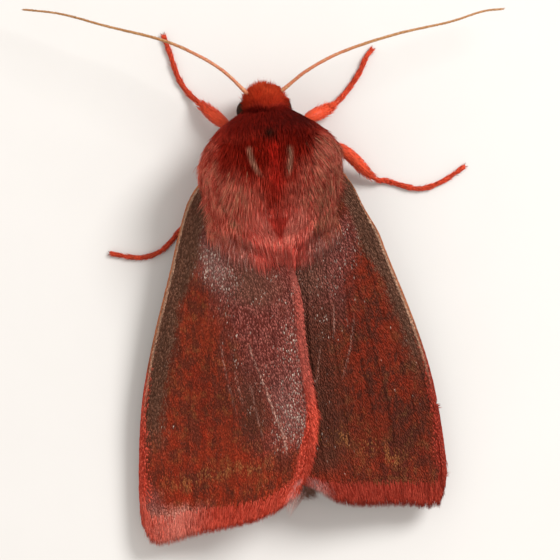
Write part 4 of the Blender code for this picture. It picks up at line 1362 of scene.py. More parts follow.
class MOTH_OT_skin(bpy.types.Operator):
    """Make one skin over the head, thorax, abdomen, palps and legs"""

    bl_idname = "moth.skin"
    bl_label = "Skin"

    def execute(self, context):
        made = skin_mesh()
        if len(made.polygons) < 1000:
            raise RuntimeError("the skin came out empty")
        set_layer(made, "tint", np.full(len(made.vertices), SKIN_TINT), "FLOAT")
        points = read(made.vertices, "co", np.float32, 3).reshape(-1, 3) / MM
        legs = np.zeros(len(points), bool)
        for limb in LIMBS.values():
            share = np.linspace(limb.shares[1] * 0.7, 1, 90)
            here = limb.line(share)
            near = np.linalg.norm(points[:, None, :] - here[None], axis=2)
            legs |= (near - limb.radius(share)[None] < LEG_NEAR).any(axis=1)
        legs &= points[:, 2] < LEG_TOP
        piece = make_piece("skin", made, finish_of("body_fur", context.scene))
        made.materials.append(finish_of("leg_hair", context.scene))
        corners = read(made.loops, "vertex_index")[read(made.polygons, "loop_start")]
        made.polygons.foreach_set("material_index", legs[corners].astype(np.int32))
        flesh = [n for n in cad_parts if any(word in n for word in FLESH)]
        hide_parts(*flesh)
        return {"FINISHED"}


# Coat


def clumped(draw, turn, s, tip_turn, tip_s, s_range, pull=0.4):
    """Draws the tips of neighbouring hairs together into locks."""
    clumps = max(20, len(s) // 16)
    turn_c, s_c = draw.uniform(-3.2, 3.2, clumps), draw.uniform(*s_range, clumps)
    nearest = np.argmin((turn[:, None] - turn_c) ** 2 * 5.0 + (s[:, None] - s_c) ** 2, axis=1)
    counts = np.maximum(np.bincount(nearest, minlength=clumps), 1)
    mean_turn = np.bincount(nearest, tip_turn, clumps) / counts
    mean_s = np.bincount(nearest, tip_s, clumps) / counts
    lift = draw.uniform(-1, 1, clumps)[nearest]
    return blend(tip_turn, mean_turn[nearest], pull), blend(tip_s, mean_s[nearest], pull * 0.4), lift


def flank_roots(draw, count, s_range, turn_range, length, width, way=1, out=(0.85, 1.05), spread=0.06):
    """Hair round the thorax at turns from the top, lying back along it, or forward where way is -1."""
    s = draw.uniform(*s_range, count)
    turn = draw.uniform(*turn_range, count) * draw.choice((-1.0, 1.0), count)
    long = length(s) * draw.uniform(0.78, 1.18, count)
    tip_s = s + way * long
    tip_turn = turn * (1 + spread) + draw.normal(0, 0.045, count)
    tip_turn, tip_s, lift = clumped(draw, turn, s, tip_turn, tip_s, s_range)
    height = draw.uniform(*out, count) + 0.05 * lift + 0.07 * (draw.uniform(0, 1, count) > 0.94)
    root = over_body(turn, s, 0.0) - outward(turn, s) * 0.05
    bend = over_wings(over_body(blend(turn, tip_turn, 0.45), blend(s, tip_s, 0.42), height * 1.06), 0.08)
    tip = over_wings(over_body(tip_turn, tip_s, height), 0.06)
    up = outward(blend(turn, tip_turn, 0.6), np.minimum(tip_s, 8.0))
    return Roots(root, bend, tip, up, draw.uniform(0.8, 1.15, count) * width / 2, thorax_unwrap(turn, s))


def thorax_unwrap(turn, s):
    """The thorax's places on the OFBake map."""
    return round_share(turn), 0.02 + (s - BODY[0][0]) / (BODY[-1][0] - BODY[0][0]) * 0.90


def lie(x, s):
    """How far hair seen from above leans away from straight back, as x per s."""
    side, beyond = np.sign(x - 0.25), np.abs(x - 0.25)
    splay = 0.30 * smooth(beyond, 0.3, 2.4) * (1 - smooth(s, 4.4, 6.4))
    gather = 0.22 * smooth(beyond, 0.1, 0.8) * (1 - smooth(beyond, 1.4, 2.3)) * smooth(s, 5.4, 6.8)
    return side * (splay - gather)


def hair_end(x):
    """How far back the hair on the thorax reaches over the wings, at each x."""
    keys = [-3.9, -3.4, -2.4, -1.4, -0.5, 0.1, 0.7, 1.2, 1.9, 2.6, 3.2, 3.7]
    ends = [7.9, 8.3, 8.4, 8.5, 8.9, 9.3, 9.3, 9.0, 8.6, 8.1, 7.1, 5.9]
    return np.interp(x, keys, ends)


def mantle_height(x, s, share):
    """Height of the coat's outside over a place seen from above, sinking to the wings at its rear end."""
    half_width, half_height, centre = COAT_AT(s)
    half_width = half_width * (1 + shoulder(x, s))
    coat = centre + half_height * np.sqrt(np.clip(1 - (x / half_width) ** 2, 0.0, 1.0)) * share
    top, inside = cover_height(x, s)
    on_wing = top + 0.09 + 0.26 * share * blend(0.45, 1.0, smooth(s - hair_end(x), 0.1, -1.5))
    coat = np.where(np.abs(x) > half_width, on_wing, coat)
    sink = smooth(s - hair_end(x), -3.2, 0.0)
    return np.where(inside > -0.5, np.maximum(blend(coat, on_wing, sink), top + 0.06), coat)


def mantle_roots(draw, count, s_range, length, width):
    """Hair on the upper side of the thorax, laid out from above so that it runs on over the wings' roots."""
    s, x = draw.uniform(*s_range, count), draw.uniform(-MANTLE_REACH, MANTLE_REACH, count)
    half_width, _, _ = BODY_AT(s)
    keep = (np.abs(x) < half_width * 0.97) & (s < hair_end(x * 1.5) - 0.7)
    s, x, half_width = s[keep], x[keep], half_width[keep]
    count = len(s)
    long = length(s) * draw.uniform(0.75, 1.2, count)
    tip_s = s + long
    push = np.sign(x) * smooth(np.abs(x), 1.5, 2.6) * blend(0.75, 1.10, smooth(s, 4.4, 6.2))
    tip_x = x + long * (lie(x, s) + draw.normal(0, 0.09, count)) + push
    near = np.argmin((x[:, None] - x[None, ::14]) ** 2 * 2.5 + (s[:, None] - s[None, ::14]) ** 2, axis=1)
    sums = np.maximum(np.bincount(near), 1)
    tip_x = blend(tip_x, (np.bincount(near, tip_x) / sums)[near], 0.32)
    lift = draw.uniform(-1, 1, len(sums))[near]
    last = hair_end(tip_x)
    thinned = last - draw.exponential(0.90, count) + np.where(draw.uniform(0, 1, count) > 0.9, 0.5, 0.1)
    tip_s = np.where(tip_s > last - 0.2, np.maximum(thinned, s + 0.5), tip_s)
    high = draw.uniform(0.84, 1.06, count) + 0.04 * lift
    turn = np.arcsin(np.clip(x / half_width, -1, 1))
    root = on_skin(turn, s, -0.04)
    bend_x, bend_s = blend(x, tip_x, 0.42), blend(s, tip_s, 0.40)
    bend = spot(bend_x, bend_s, np.maximum(mantle_height(bend_x, bend_s, high), root[:, 2] + 0.1))
    tip = spot(tip_x, tip_s, mantle_height(tip_x, tip_s, high))
    up = outward(turn * 0.8, s)
    return Roots(root, bend, tip, up, draw.uniform(0.75, 1.2, count) * width / 2, thorax_unwrap(turn, s))


def ramp(*pairs):
    """A function that reads straight between (s, value) pairs."""
    keys, values = zip(*pairs)
    return lambda s: np.interp(s, keys, values)


def head_roots(draw, count, out=1.0):
    """The brush over face and crown: short, dense, swept forwards and out, with a few longer hairs."""
    azimuth = draw.uniform(-1, 1, count) * 3.1
    height = np.arcsin(draw.uniform(-0.55, 1.0, count))
    way = np.stack([np.sin(azimuth) * np.cos(height), np.cos(azimuth) * np.cos(height), np.sin(height)], -1)
    centre = spot(*HEAD_BALL)
    radii = np.array(HEAD_RADII) * out
    back = unit(way + np.array([0.0, -0.55, 0.10]))
    stray = draw.uniform(0, 1, count) > 0.84
    ragged = np.where(stray, draw.uniform(1.03, 1.16, count), draw.uniform(0.86, 1.04, count))
    ragged = ragged + 0.05 * np.exp(-(((azimuth + 0.15) / 0.35) ** 2))
    ragged = (ragged - 0.04 * np.exp(-(((azimuth - 0.50) / 0.40) ** 2)))[:, None]
    root = centre + back * radii * 0.50
    bend = centre + unit(blend(back, way, 0.55)) * radii * 0.90
    tip = centre + way * radii * ragged
    tip[:, :2] += draw.normal(0, 0.05, (count, 2))
    up = unit(way + np.array([0.0, 0.25, 0.6]))
    unwrap = (round_share(azimuth), 0.5 + height / math.pi * 0.96)
    thick = draw.uniform(0.8, 1.2, count) * np.where(stray, 0.6, 1.0) * HEAD_HAIR / 2
    made = Roots(root, bend, tip, up, thick, unwrap)
    clear = np.ones(count, bool)
    for place in EYES.values():
        for point in (bend, tip, blend(bend, tip, 0.5)):
            clear &= np.linalg.norm((point - spot(*place)) / (np.array(EYE_R) + 0.04), axis=1) > 1.0
    return made.kept(clear & (tip[:, 1] > HEAD_S - 2.0))


def brow_roots(draw, side, count, reach, gap, more):
    """Hair from the crown that hangs over the top of an eye, and reaches that much more behind the gap."""
    s = draw.uniform(0.80, 1.80, count)
    x = draw.uniform(0.55, 0.85, count)
    root = spot(side * x, s, 3.15)
    far = more * smooth(s, gap - 0.05, gap + 0.25)
    out = draw.uniform(0.72, 1.0, count) * (reach + far)
    tip = spot(side * out, s + draw.uniform(0.0, 0.35, count), draw.uniform(2.86, 3.10, count))
    bend = spot(side * blend(x, out, 0.55), s + 0.05, draw.uniform(3.25, 3.50, count))
    up = unit(np.column_stack([np.full(count, side * 0.6), np.zeros(count), np.full(count, 0.8)]))
    unwrap = (0.5 + side * (0.10 + 0.12 * (x - 0.55)), 0.03 + 0.08 * s)
    return Roots(root, bend, tip, up, draw.uniform(0.8, 1.2, count) * 0.026, unwrap)


def mouth_roots(draw, count):
    """Shaggy hair on palps and mouth, pressed back from the outline of the head above it."""
    made = []
    for k, (line, radii) in enumerate(mouth_lines()):
        share = draw.uniform(0.02, 0.98, count)
        turn = draw.uniform(0, math.tau, count)
        here = line(share)
        onward = line.onward(share, 0.02)
        across = unit(np.cross(onward, MOUTH_ACROSS))
        way = turned(turn, across, np.cross(across, onward))
        radius = np.interp(share, np.linspace(0, 1, len(radii)), radii)[:, None]
        long = (draw.uniform(0.28, 0.55, count) * (1 - 0.5 * share))[:, None]
        root, tip = here + way * radius * 0.8, here + way * (radius + 0.12) + onward * long
        bend = here + way * (radius + 0.08) + onward * long * 0.45
        for point in (bend, tip):
            point[:, 1] = np.minimum(point[:, 1], HEAD_S - 0.24 - 0.25 * smooth(point[:, 2], 1.9, 2.4))
        unwrap = (0.02 + (k + 0.9 * turn / math.tau) / 3, 0.05 + 0.9 * share)
        made.append(Roots(root, bend, tip, way, 0.024, unwrap))
    return made[0].plus(*made[1:])


def abdomen_roots(draw, count):
    """Short hair on the abdomen, which stands up at the rear edge of each segment."""
    s = ABDOMEN_START - 0.9 + (ABDOMEN_END - ABDOMEN_START + 0.7) * draw.uniform(0, 1, count)
    turn = draw.uniform(-math.pi, math.pi, count)
    long = draw.uniform(0.45, 0.80, count)
    proud = 0.05 + 0.07 * (segment_share(s) % 1.0 > 0.7)
    root = on_skin(turn, s, segment_step(s) - 0.04)
    bend = on_skin(turn, s + long * 0.45, segment_step(s) + proud)
    tip_turn = turn + draw.normal(0, 0.06, count)
    tip = on_skin(tip_turn, s + long, segment_step(s + long) + proud * draw.uniform(0.2, 1.2, count))
    unwrap = (round_share(turn), 0.07 + (s - ABDOMEN_START) / (ABDOMEN_END - ABDOMEN_START) * 0.75)
    return Roots(root, bend, tip, outward(turn, s), 0.04, unwrap)


def tail_roots(draw, count):
    """The brush at the abdomen's end, fanned out towards the tips."""
    s = draw.uniform(*TAIL_ROOTS, count)
    turn = draw.uniform(-math.pi, math.pi, count)
    tip_s = s + draw.uniform(0.8, 1.9, count)
    inner = draw.uniform(0.25, 1.0, count)
    half_width, half_height, centre = BODY_AT(s)
    root = on_skin(turn, s, -0.05)
    fan = draw.uniform(0.55, 0.95, count) * inner * (1 - 0.5 * smooth(tip_s, 20.2, 21.6))
    # The paler hair leans left; the hair in the shade of the right wing spreads to the right, lower and
    # shorter, as a dark brush that stands for the shadow in the gap between the wings and is painted dark in
    # the fur's finish
    leftward = -0.30 * (tip_s - ABDOMEN_END)
    lean = np.where(draw.uniform(0, 1, count) < 0.36, leftward, draw.uniform(0.25, 1.05, count))
    shaded = lean > 0.2
    tip_s = np.where(shaded, np.minimum(tip_s, draw.uniform(20.6, 21.15, count)), tip_s)
    tip = spot(0.42 * fan * np.sin(turn) + lean, tip_s, 1.55 + 0.40 * fan * np.cos(turn) - 0.3 * shaded)
    bend_x, bend_z = half_width * 1.02 * np.sin(turn), centre + half_height * 1.02 * np.cos(turn)
    bend = spot(bend_x, blend(s, tip_s, 0.5), bend_z)
    unwrap = (round_share(turn), 0.84 + (s - TAIL_ROOTS[0]) / 1.2 * 0.12)
    return Roots(root, bend, tip, outward(turn, s), np.where(shaded, 0.028, 0.018), unwrap)


def leg_roots(draw, count):
    """Short hair that lies along every leg, with a loose fringe under shin and foot."""
    made = []
    for k, limb in enumerate(LIMBS.values()):
        share = draw.uniform(limb.shares[1] * 0.8, 0.985, count)
        turn = draw.uniform(0, math.tau, count)
        here, onward, across, lift = limb.frames(share)
        radius = limb.radius(share)[:, None]
        way = turned(turn, across, lift)
        shin = ((share > limb.knee) & (share < limb.ankle))[:, None]
        loose = draw.uniform(0, 1, count)[:, None]
        long = np.where(share > limb.ankle, 0.20, 0.34)[:, None] * draw.uniform(0.8, 1.2, count)[:, None]
        stand = np.where(loose > 0.95, 0.11, 0.032) + np.where(shin & (loose > 0.85), 0.05, 0.0)
        root = here + way * radius * 0.82
        bend = here + way * (radius + stand * 0.7) + onward * long * 0.45
        tip = here + way * (radius + stand) * 0.98 + onward * long
        for point in (bend, tip):
            point[:, 2] = np.maximum(point[:, 2], 0.012)
        unwrap = ((k + 0.04 + 0.9 * turn / math.tau) / len(LIMBS), 0.02 + 0.94 * share)
        width = np.where(loose[:, 0] > 0.95, 0.014, 0.026)
        made.append(Roots(root, bend, tip, way, width, unwrap))
    return made[0].plus(*made[1:])


class MOTH_OT_coat(bpy.types.Operator):
    """Grow the hair of head, thorax, abdomen and legs over the skin"""

    bl_idname = "moth.coat"
    bl_label = "Coat"

    def execute(self, context):
        scene = context.scene
        coat = scene.moth_coat
        fur, hair = finish_of("body_fur", scene), finish_of("leg_hair", scene)
        width = coat.hair_width / MM
        draw = np.random.default_rng(coat.seed)

        short = ramp((1.9, 0.75), (3.0, 1.1), (5.0, 1.35), (8.0, 1.3))
        front = mantle_roots(draw, coat.many(7800), (2.1, 4.6), ramp((2, 0.9), (3, 1.1), (4.6, 1.35)), width)
        collar = flank_roots(draw, coat.many(4600), (1.95, 3.2), (0.0, 1.75), ramp((1.9, 0.50), (3.2, 0.95)),
                             width, way=-1, out=(0.90, 1.05), spread=0.0)
        grow("coat_thorax_front", front.plus(collar), fur, coat.seed + 1)
        longer = ramp((4, 1.3), (6, 1.55), (8, 1.9))
        rear = mantle_roots(draw, coat.many(14200), (4.2, 8.0), longer, width * 1.08)
        grow("coat_thorax_rear", rear, fur, coat.seed + 2)
        flank = flank_roots(draw, coat.many(5600), (1.9, 6.6), (0.9, 1.95), short, width, spread=0.02)
        under = flank_roots(draw, coat.many(2600), (2.2, 7.9), (1.8, math.pi), ramp((2, 0.7), (8, 0.9)),
                            width, out=(0.08, 0.20))
        grow("coat_flank", flank.plus(under), fur, coat.seed + 3)
        brows = brow_roots(draw, LEFT, coat.many(550), 1.12, 1.36, 0.45)
        brows = brows.plus(brow_roots(draw, RIGHT, coat.many(650), 1.23, 1.26, 0.15))
        outer, inner = head_roots(draw, coat.many(9400)), head_roots(draw, coat.many(4200), 0.88)
        head = outer.plus(inner, brows, mouth_roots(draw, coat.many(560)))
        grow("coat_head", head, fur, coat.seed + 4, steps=2)
        tail = abdomen_roots(draw, coat.many(8100)).plus(tail_roots(draw, coat.many(1300)))
        grow("coat_abdomen", tail, fur, coat.seed + 5, steps=2)
        grow("coat_legs", leg_roots(draw, coat.many(1750)), hair, coat.seed + 6, steps=2)
        return {"FINISHED"}


# Wings


def field_of(side, u, v):
    """The field layer of points on a wing."""
    return np.column_stack(np.broadcast_arrays(u, v, float(side)))


def wing_patch(u, v):
    """A wing's places on the OFBake map."""
    return 0.02 + 0.95 * u, 0.02 + 0.95 * v


# Each membrane's fineness and thickness, and how far it goes towards the outer margin
FORE_SHEET = {"rows": 120, "columns": 150, "thickness": 0.09, "u_end": 0.965}
HIND_SHEET = {"rows": 70, "columns": 50, "thickness": 0.07, "u_end": 0.97}
SCALES_END = (0.97, 0.988)              # the last rows of scales, in u and v
TRIED = 1.9                             # places tried for each scale that is kept


def sheet_piece(name, surface, side, material, slot, rows, columns, thickness, u_end):
    """A wing's membrane as a thin closed sheet, with its field of u and v."""
    u, v = np.meshgrid(np.linspace(0, u_end, rows + 1), np.linspace(0, 1, columns + 1), indexing="ij")
    points = surface(side, u.ravel(), v.ravel()) * MM
    quads = []
    for i in range(rows):
        for j in range(columns):
            a = i * (columns + 1) + j
            quads.append((a, a + 1, a + columns + 2, a + columns + 1))
    if side == LEFT:
        quads = [q[::-1] for q in quads]
    mesh = bpy.data.meshes.new(name)
    mesh.from_pydata([tuple(p) for p in points], [], quads)
    mesh.update()
    if sum(p.normal.z for p in mesh.polygons) < 0:
        mesh.flip_normals()
    set_layer(mesh, "field", field_of(side, u.ravel(), v.ravel()))
    set_layer(mesh, "tint", np.full(u.size, SKIN_TINT), "FLOAT")
    guide = add_object(name, mesh)
    thick = guide.modifiers.new("thickness", "SOLIDIFY")
    thick.thickness = thickness * MM
    thick.offset = -1.0
    made = evaluated_mesh(guide)
    made.shade_smooth()
    return make_piece(name, made, material)


# Steps of a sequence of places that fills a square evenly
EVEN_U, EVEN_V = 0.7548776662466927, 0.5698402909980532


def spread_points(count, seed):
    """Evenly scattered pairs between 0 and 1."""
    k = np.arange(count)
    draw = np.random.default_rng(seed)
    u = (0.5 + k * EVEN_U) % 1.0
    v = (0.5 + k * EVEN_V) % 1.0
    return np.clip(u + draw.normal(0, 0.002, count), 0, 1), np.clip(v + draw.normal(0, 0.003, count), 0, 1)


def scale_roots(draw, side, count, seed, length, width):
    """Scales in even cover over the upper face of a forewing, each pointing to the outer margin."""
    u, v = spread_points(int(count * TRIED), seed)
    u = u * SCALES_END[0]
    step = 0.01
    here = on_forewing(side, u, v)
    along = on_forewing(side, np.minimum(u + step, 1), v) - here
    across = on_forewing(side, u, np.where(v > 0.98, v - step, v + step)) - here
    area = np.linalg.norm(np.cross(along, across), axis=1)
    keep = (draw.uniform(0, 1, len(u)) < area / np.quantile(area, 0.97)) & (v < SCALES_END[1])
    u, v = u[keep][:count], v[keep][:count]
    here, onward, up = wing_frame(on_forewing, side, u, v)
    sway = draw.normal(0, 0.16, len(u))[:, None]
    way = unit(onward + np.cross(up, onward) * sway)
    long = (length * draw.uniform(0.75, 1.25, len(u)))[:, None]
    rise = draw.uniform(0.008, 0.024, len(u))[:, None]
    root = here - up * 0.02
    bend = here + way * long * 0.5 + up * (rise + 0.010)
    tip = here + way * long + up * rise
    return Roots(root, bend, tip, up, width / 2, wing_patch(u, v), field_of(side, u, v))


def fringe_roots(draw, side, count, surface=on_forewing, u_from=0.90, length=(0.62, 1.02)):
    """Hair that runs out over a wing's outer margin, from both of its faces."""
    v = draw.uniform(0.0, 1.0, count)
    u = draw.uniform(u_from, 0.965, count)
    here, _, up = wing_frame(surface, side, u, v)
    margin = surface(side, np.full(count, 1.0), v)
    toward = unit(margin - surface(side, np.full(count, 0.93), v))
    # Tips end at the true margin, a little raggedly
    tuft = 0.03 + 0.06 * np.sin(v * 150.0 + 3.0 * np.sin(v * 11.0)) + draw.normal(0, 0.05, count)
    reach = np.sum((margin - here) * toward, axis=1) + tuft
    long = np.clip(reach, *length)[:, None]
    if side == RIGHT and surface is on_forewing:
        # Its inner end is cut short, then rounder, and its corner worn
        round_out = 0.26 * np.sin(np.pi * np.clip(v / 0.75, 0, 1)) * smooth(v, 0.26, 0.40)
        round_out = round_out - 0.16 * smooth(v, 0.34, 0.24) - 0.42 * smooth(v, 0.88, 1.0)
        long = long + round_out[:, None]
    sway = draw.normal(0, 0.10, count)[:, None]
    way = unit(toward + np.cross(up, toward) * sway)
    under = (draw.uniform(0, 1, count) < 0.22)[:, None]
    rise = np.where(under, -0.10, draw.uniform(0.0, 0.07, (count, 1)))
    root = here + up * np.where(under, -0.08, -0.02)
    bend = here + way * long * 0.5 + up * (rise + np.where(under, 0.0, 0.04))
    tip = here + way * long + up * (rise * 0.6 - 0.03)
    thick = FRINGE_HAIR / 2 * draw.uniform(0.8, 1.2, count)
    return Roots(root, bend, tip, up, thick, wing_patch(u, v), field_of(side, 0.985, v))


def hem_roots(draw, side, count):
    """The fringe along the inner margin, which lies aslant over the edge and sinks onto the wing under it."""
    u = draw.uniform(0.04, 0.97, count)
    v = draw.uniform(0.0, 0.045, count)
    here, onward, up = wing_frame(on_forewing, side, u, v)
    edge = on_forewing(side, u, np.zeros(count))
    inward = unit(edge - on_forewing(side, u, np.full(count, 0.06)))
    lean = blend(0.38, 0.75, smooth(u, 0.75, 0.97))[:, None] + draw.normal(0, 0.10, count)[:, None]
    way = unit(onward + inward * lean)
    share = blend(0.5, 1.0, smooth(u, 0.3, 0.7)) * blend(1.0, 0.6, smooth(u, 0.8, 0.95))
    long = (draw.uniform(0.42, 0.72, count) * share)[:, None]
    root, tip = here - up * 0.02, here + way * long
    x, s = tip[:, 0] - MIDLINE, HEAD_S - tip[:, 1]
    beneath = roof(RIGHT, x, s) - SHEET_DROP[RIGHT] + 0.07
    over = smooth(np.sum((tip - edge) * inward, axis=1), -0.05, 0.30)
    low = np.maximum(beneath, tip[:, 2] - 0.30) if side == LEFT else tip[:, 2] - 0.12
    tip[:, 2] = blend(tip[:, 2] + 0.05, low, over)
    bend = here + way * long * 0.5 + up * 0.08
    thick = FRINGE_HAIR / 2 * draw.uniform(0.8, 1.2, count)
    return Roots(root, bend, tip, up, thick, wing_patch(u, v), field_of(side, u, 0.01))


def costa_roots(draw, side, count):
    """Narrow scales wrapped round the front edge."""
    u = draw.uniform(0.0, 0.97, count)
    v = draw.uniform(0.972, 1.0, count)
    here, onward, up = wing_frame(on_forewing, side, u, v)
    outer = unit(np.cross(onward, up))
    outer = np.where(outer[:, :1] * side < 0, -outer, outer)
    way = turned(draw.uniform(-0.6, 1.5, count), up, outer)
    long = draw.uniform(0.40, 0.60, count)[:, None]
    root = here - up * 0.03
    bend, tip = here + way * 0.025 + onward * long * 0.5, here + onward * long
    return Roots(root, bend, tip, unit(way), 0.020, wing_patch(u, v), field_of(side, u, v))


def base_roots(draw, side, count, width):
    """Long hair on a forewing's root, which carries the coat of the thorax on over the wing."""
    v = draw.uniform(0.10, 0.73 if side == LEFT else 0.64, count)
    u = draw.uniform(0.0, 1.0, count) * blend(0.020, 0.062, smooth(v, 0.15, 0.65))
    here, onward, up = wing_frame(on_forewing, side, u, v)
    back = np.column_stack(np.broadcast_arrays(draw.normal(0, 0.12, count), -1.0, 0.0))
    way = unit(onward * 0.5 + back)
    long = np.minimum(0.45 + draw.exponential(0.28, count), 1.3)[:, None]
    bend = over_wings(here + way * long * 0.45 + up * 0.12, 0.09)
    tip = over_wings(here + way * long, draw.uniform(0.03, 0.14, count))
    thick = width / 2 * draw.uniform(0.6, 1.0, count)
    return Roots(here - up * 0.02, bend, tip, up, thick, wing_patch(u, v))


class MOTH_OT_wings(bpy.types.Operator):
    """Make the four membranes and lay scales and fringes over them"""

    bl_idname = "moth.wings"
    bl_label = "Wings"

    def execute(self, context):
        scene = context.scene
        coat = scene.moth_coat
        scales, pale = finish_of("wing_scales", scene), finish_of("hindwing_scales", scene)
        fur = finish_of("body_fur", scene)
        for word, side in (("left", LEFT), ("right", RIGHT)):
            draw = np.random.default_rng(coat.seed + 40 + side)
            fore, hind = f"forewing_{word}", f"hindwing_{word}"
            piece = sheet_piece(fore + "_membrane", on_forewing, side, scales, "wing", **FORE_SHEET)
            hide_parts(f"forewing_{word}")
            piece = sheet_piece(hind + "_membrane", on_hindwing, side, pale, "hindwing", **HIND_SHEET)
            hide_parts(f"hindwing_{word}")
            length, width = coat.scale_length / MM, coat.scale_width / MM
            roots = scale_roots(draw, side, coat.many(19400), coat.seed, length, width)
            grow(fore + "_scales", roots, scales, coat.seed + 50 + side, steps=2, foot=0.55,
                 belly=4.6, flat=0.16, spread=0.9)
            hem = fringe_roots(draw, side, coat.many(4600)).plus(hem_roots(draw, side, coat.many(3400)))
            roots = hem.plus(costa_roots(draw, side, coat.many(2600)))
            grow(fore + "_fringe", roots, scales, coat.seed + 60 + side, steps=2)
            roots = base_roots(draw, side, coat.many(1500), coat.hair_width / MM)
            grow(fore + "_hair", roots, fur, coat.seed + 65 + side, steps=2)
            roots = fringe_roots(draw, side, coat.many(1200), on_hindwing, 0.86, (0.5, 1.1))
            grow(hind + "_fringe", roots, pale, coat.seed + 70 + side, steps=2)
        return {"FINISHED"}


# Feelers, eyes and claws


def feeler_roots(draw, line, count):
    """Fine bristles along a feeler."""
    share = draw.uniform(0.04, 0.99, count)
    turn = draw.uniform(0, math.tau, count)
    here = line(share)
    onward = line.onward(share, 0.01)
    across = unit(np.cross(onward, (0.05, 0.1, 0.99)))
    way = turned(turn, across, np.cross(across, onward))
    radius = blend(FEELER_R, FEELER_TIP_R, smooth(share, 0, 1))[:, None]
    long = draw.uniform(0.07, 0.13, count)[:, None]
    root, tip = here + way * radius * 0.7, here + way * (radius + 0.022) + onward * long
    bend = here + way * (radius + 0.02) + onward * long * 0.4
    return Roots(root, bend, tip, way, 0.011, (0.03 + 0.94 * turn / math.tau, 0.02 + 0.95 * share))


class MOTH_OT_feelers(bpy.types.Operator):
    """Wind the two jointed feelers"""

    bl_idname = "moth.feelers"
    bl_label = "Feelers"

    def execute(self, context):
        scene = context.scene
        finish = finish_of("feeler_scales", scene)
        tree = feeler_tree()
        for word, knots in (("left", FEELER_LEFT), ("right", FEELER_RIGHT)):
            line = Line([spot(*knot) for knot in knots])
            points = line(np.linspace(0, 0.995, 120)) * MM
            guide = bpy.data.meshes.new("feeler")
            guide.from_pydata(points.tolist(), [(k, k + 1) for k in range(len(points) - 1)], [])
            made = run_tree("feeler_" + word, guide, tree, {
                "Root Radius": FEELER_R * MM, "Tip Radius": FEELER_TIP_R * MM, "Finish": finish,
            })
            made.shade_smooth()
            piece = make_piece("feeler_" + word, made, finish)
            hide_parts("antenna_" + word)
            draw = np.random.default_rng(scene.moth_coat.seed + 80)
            roots = feeler_roots(draw, line, scene.moth_coat.many(1500))
            grow(f"feeler_{word}_bristles", roots, finish, scene.moth_coat.seed + 81, steps=2)
        return {"FINISHED"}


class MOTH_OT_eyes(bpy.types.Operator):
    """Set the two faceted eyes"""

    bl_idname = "moth.eyes"
    bl_label = "Eyes"

    def execute(self, context):
        finish = finish_of("eye_lens", context.scene)
        tree = eye_tree()
        for word, side in (("left", LEFT), ("right", RIGHT)):
            centre = (spot(*EYES[side]) * MM).tolist()
            made = run_tree("eye_ball_" + word, bpy.data.meshes.new("eye"), tree, {
                "Radii": [r * MM for r in EYE_R], "Centre": centre, "Finish": finish,
            })
            made.shade_flat()
            piece = make_piece("eye_ball_" + word, made, finish)
            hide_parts("eye_" + word)
        return {"FINISHED"}


# Lengths, where they don't vary, and half widths
CLAW, CLAW_R = 0.27, 0.036
SPUR, SPUR_R = 0.85, 0.050
SPINES, SPINE_R = 22, 0.014


class MOTH_OT_claws(bpy.types.Operator):
    """Set claws on the feet, spurs on the shins and spines under the toes"""

    bl_idname = "moth.claws"
    bl_label = "Claws and spurs"

    def execute(self, context):
        draw = np.random.default_rng(context.scene.moth_coat.seed + 90)
        rows = []
        for name, limb in LIMBS.items():
            end, onward, across, _ = limb.frames(np.array([0.995]))
            for side in (LEFT, RIGHT):
                way = unit(onward + across * side * 0.5)[0]
                root = end[0] - onward[0] * 0.08
                tip = root + way * CLAW
                tip[2] = 0.02
                rows.append((root, root + way * 0.18 + np.array([0, 0, 0.08]), tip, CLAW_R))
            for share in SPURS[name.split("_")[0]]:
                at = np.array([blend(limb.knee, limb.ankle, share)])
                here, onward, across, lift = limb.frames(at)
                for turn in (0.55, -0.55):
                    way = unit(onward + across * turn - lift * 0.35)[0]
                    rows.append((here[0], here[0] + way * 0.42, here[0] + way * SPUR, SPUR_R))
            for share in draw.uniform(limb.ankle + 0.02, 0.97, SPINES):
                here, onward, across, lift = limb.frames(np.array([share]))
                way = unit(onward * 0.9 + across * draw.uniform(-1, 1) - lift * 0.1)[0]
                root = here[0] + across[0] * np.sign(way @ across[0]) * 0.06
                tip = root + way * draw.uniform(0.18, 0.30)
                tip[2] = max(tip[2], 0.02)
                rows.append((root, blend(root, tip, 0.5), tip, SPINE_R))
        root, bend, tip = [np.array([row[i] for row in rows]) for i in range(3)]
        place = (np.linspace(0.03, 0.97, len(rows)), np.full(len(rows), 0.5))
        up = np.broadcast_to([0.0, 0.0, 1.0], root.shape)
        roots = Roots(root, bend, tip, up, np.array([row[3] for row in rows]), place)
        grow("claws", roots, finish_of("claw_horn", context.scene), 3, sides=8, steps=5, foot=1.0,
             belly=0.4, flat=1.0, spread=0.0)
        return {"FINISHED"}


# Stage


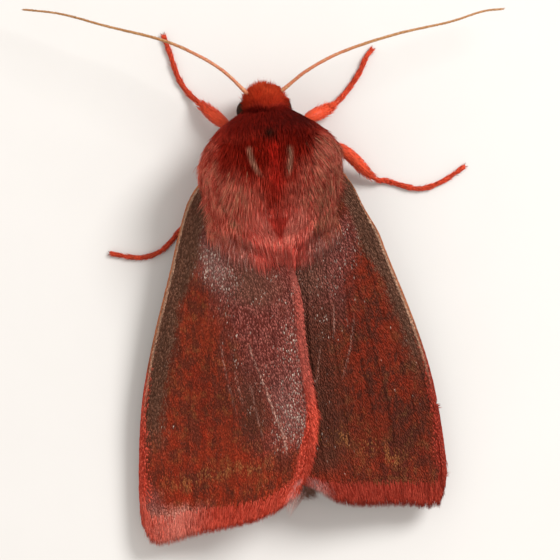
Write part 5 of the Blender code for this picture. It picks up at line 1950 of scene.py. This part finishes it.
class MOTH_OT_stage(bpy.types.Operator):
    """Lay the floor, and set the lights and the camera above"""

    bl_idname = "moth.stage"
    bl_label = "Stage"

    def execute(self, context):
        scene = context.scene
        stage = scene.moth_stage
        bpy.ops.mesh.primitive_plane_add(size=1.2, location=(0, 0, 0))
        floor = context.active_object
        floor.name = "floor"
        made, web, shader = new_material("floor", Roughness=0.9, Specular_IOR_Level=0.1)
        _, _, _, place = place_nodes(web)
        plain = scene.moth_tones.floor
        colour = web.mixed(web.noise(place, 0.25, 3.0), plain, tuple(min(1.0, c * 1.04) for c in plain))
        colour_in(web, shader, colour)
        floor.data.materials.append(made)

        world = bpy.data.worlds.new("sky")
        world.use_nodes = True
        back = world.node_tree.nodes["Background"]
        back.inputs["Color"].default_value = (1.0, 0.945, 0.90, 1)
        back.inputs["Strength"].default_value = stage.sky
        scene.world = world

        key = bpy.data.lights.new("key", "AREA")
        key.shape = "DISK"
        key.size = 0.13
        key.energy = stage.key
        key.color = (1.0, 0.985, 0.97)
        lamp = add_object("key", key)
        lamp.location = (0.19, 0.13, 0.215)
        lamp.rotation_euler = (-lamp.location).to_track_quat("-Z", "Y").to_euler()

        view = bpy.data.cameras.new("camera")
        view.sensor_width = 36.0
        view.lens = view.sensor_width * stage.distance / stage.frame_width
        view.clip_start, view.clip_end = 0.01, 10.0
        camera = add_object("camera", view)
        camera.location = (*stage.centre, stage.distance + MOTH_HEIGHT * MM)
        camera.rotation_euler = (0, 0, stage.turn)
        scene.camera = camera
        scene.view_settings.view_transform = "Standard"
        return {"FINISHED"}


class MOTH_PT_panel(bpy.types.Panel):
    """Lists the pieces of the moth"""

    bl_label = "Pink Sallow Moth"
    bl_idname = "MOTH_PT_panel"
    bl_space_type = "VIEW_3D"
    bl_region_type = "UI"
    bl_category = "Moth"

    def draw(self, context):
        layout = self.layout
        for piece in PIECES:
            layout.operator(piece.bl_idname)
        for group in (context.scene.moth_coat, context.scene.moth_stage, context.scene.moth_tones):
            box = layout.box()
            for key in group.__annotations__:
                box.prop(group, key)


PIECES = (
    MOTH_OT_stage, MOTH_OT_skin, MOTH_OT_eyes, MOTH_OT_feelers, MOTH_OT_claws, MOTH_OT_coat, MOTH_OT_wings,
)
CLASSES = (MothTones, MothCoat, MothStage, *PIECES, MOTH_PT_panel)


def register():
    for made in CLASSES:
        bpy.utils.register_class(made)
    bpy.types.Scene.moth_tones = PointerProperty(type=MothTones)
    bpy.types.Scene.moth_coat = PointerProperty(type=MothCoat)
    bpy.types.Scene.moth_stage = PointerProperty(type=MothStage)


def unregister():
    for name in ("moth_tones", "moth_coat", "moth_stage"):
        delattr(bpy.types.Scene, name)
    for made in reversed(CLASSES):
        bpy.utils.unregister_class(made)


def main():
    register()
    bpy.ops.moth.stage()
    bpy.ops.moth.skin()
    bpy.ops.moth.eyes()
    bpy.ops.moth.feelers()
    bpy.ops.moth.claws()
    bpy.ops.moth.coat()
    bpy.ops.moth.wings()


if __name__ == "__main__":
    main()
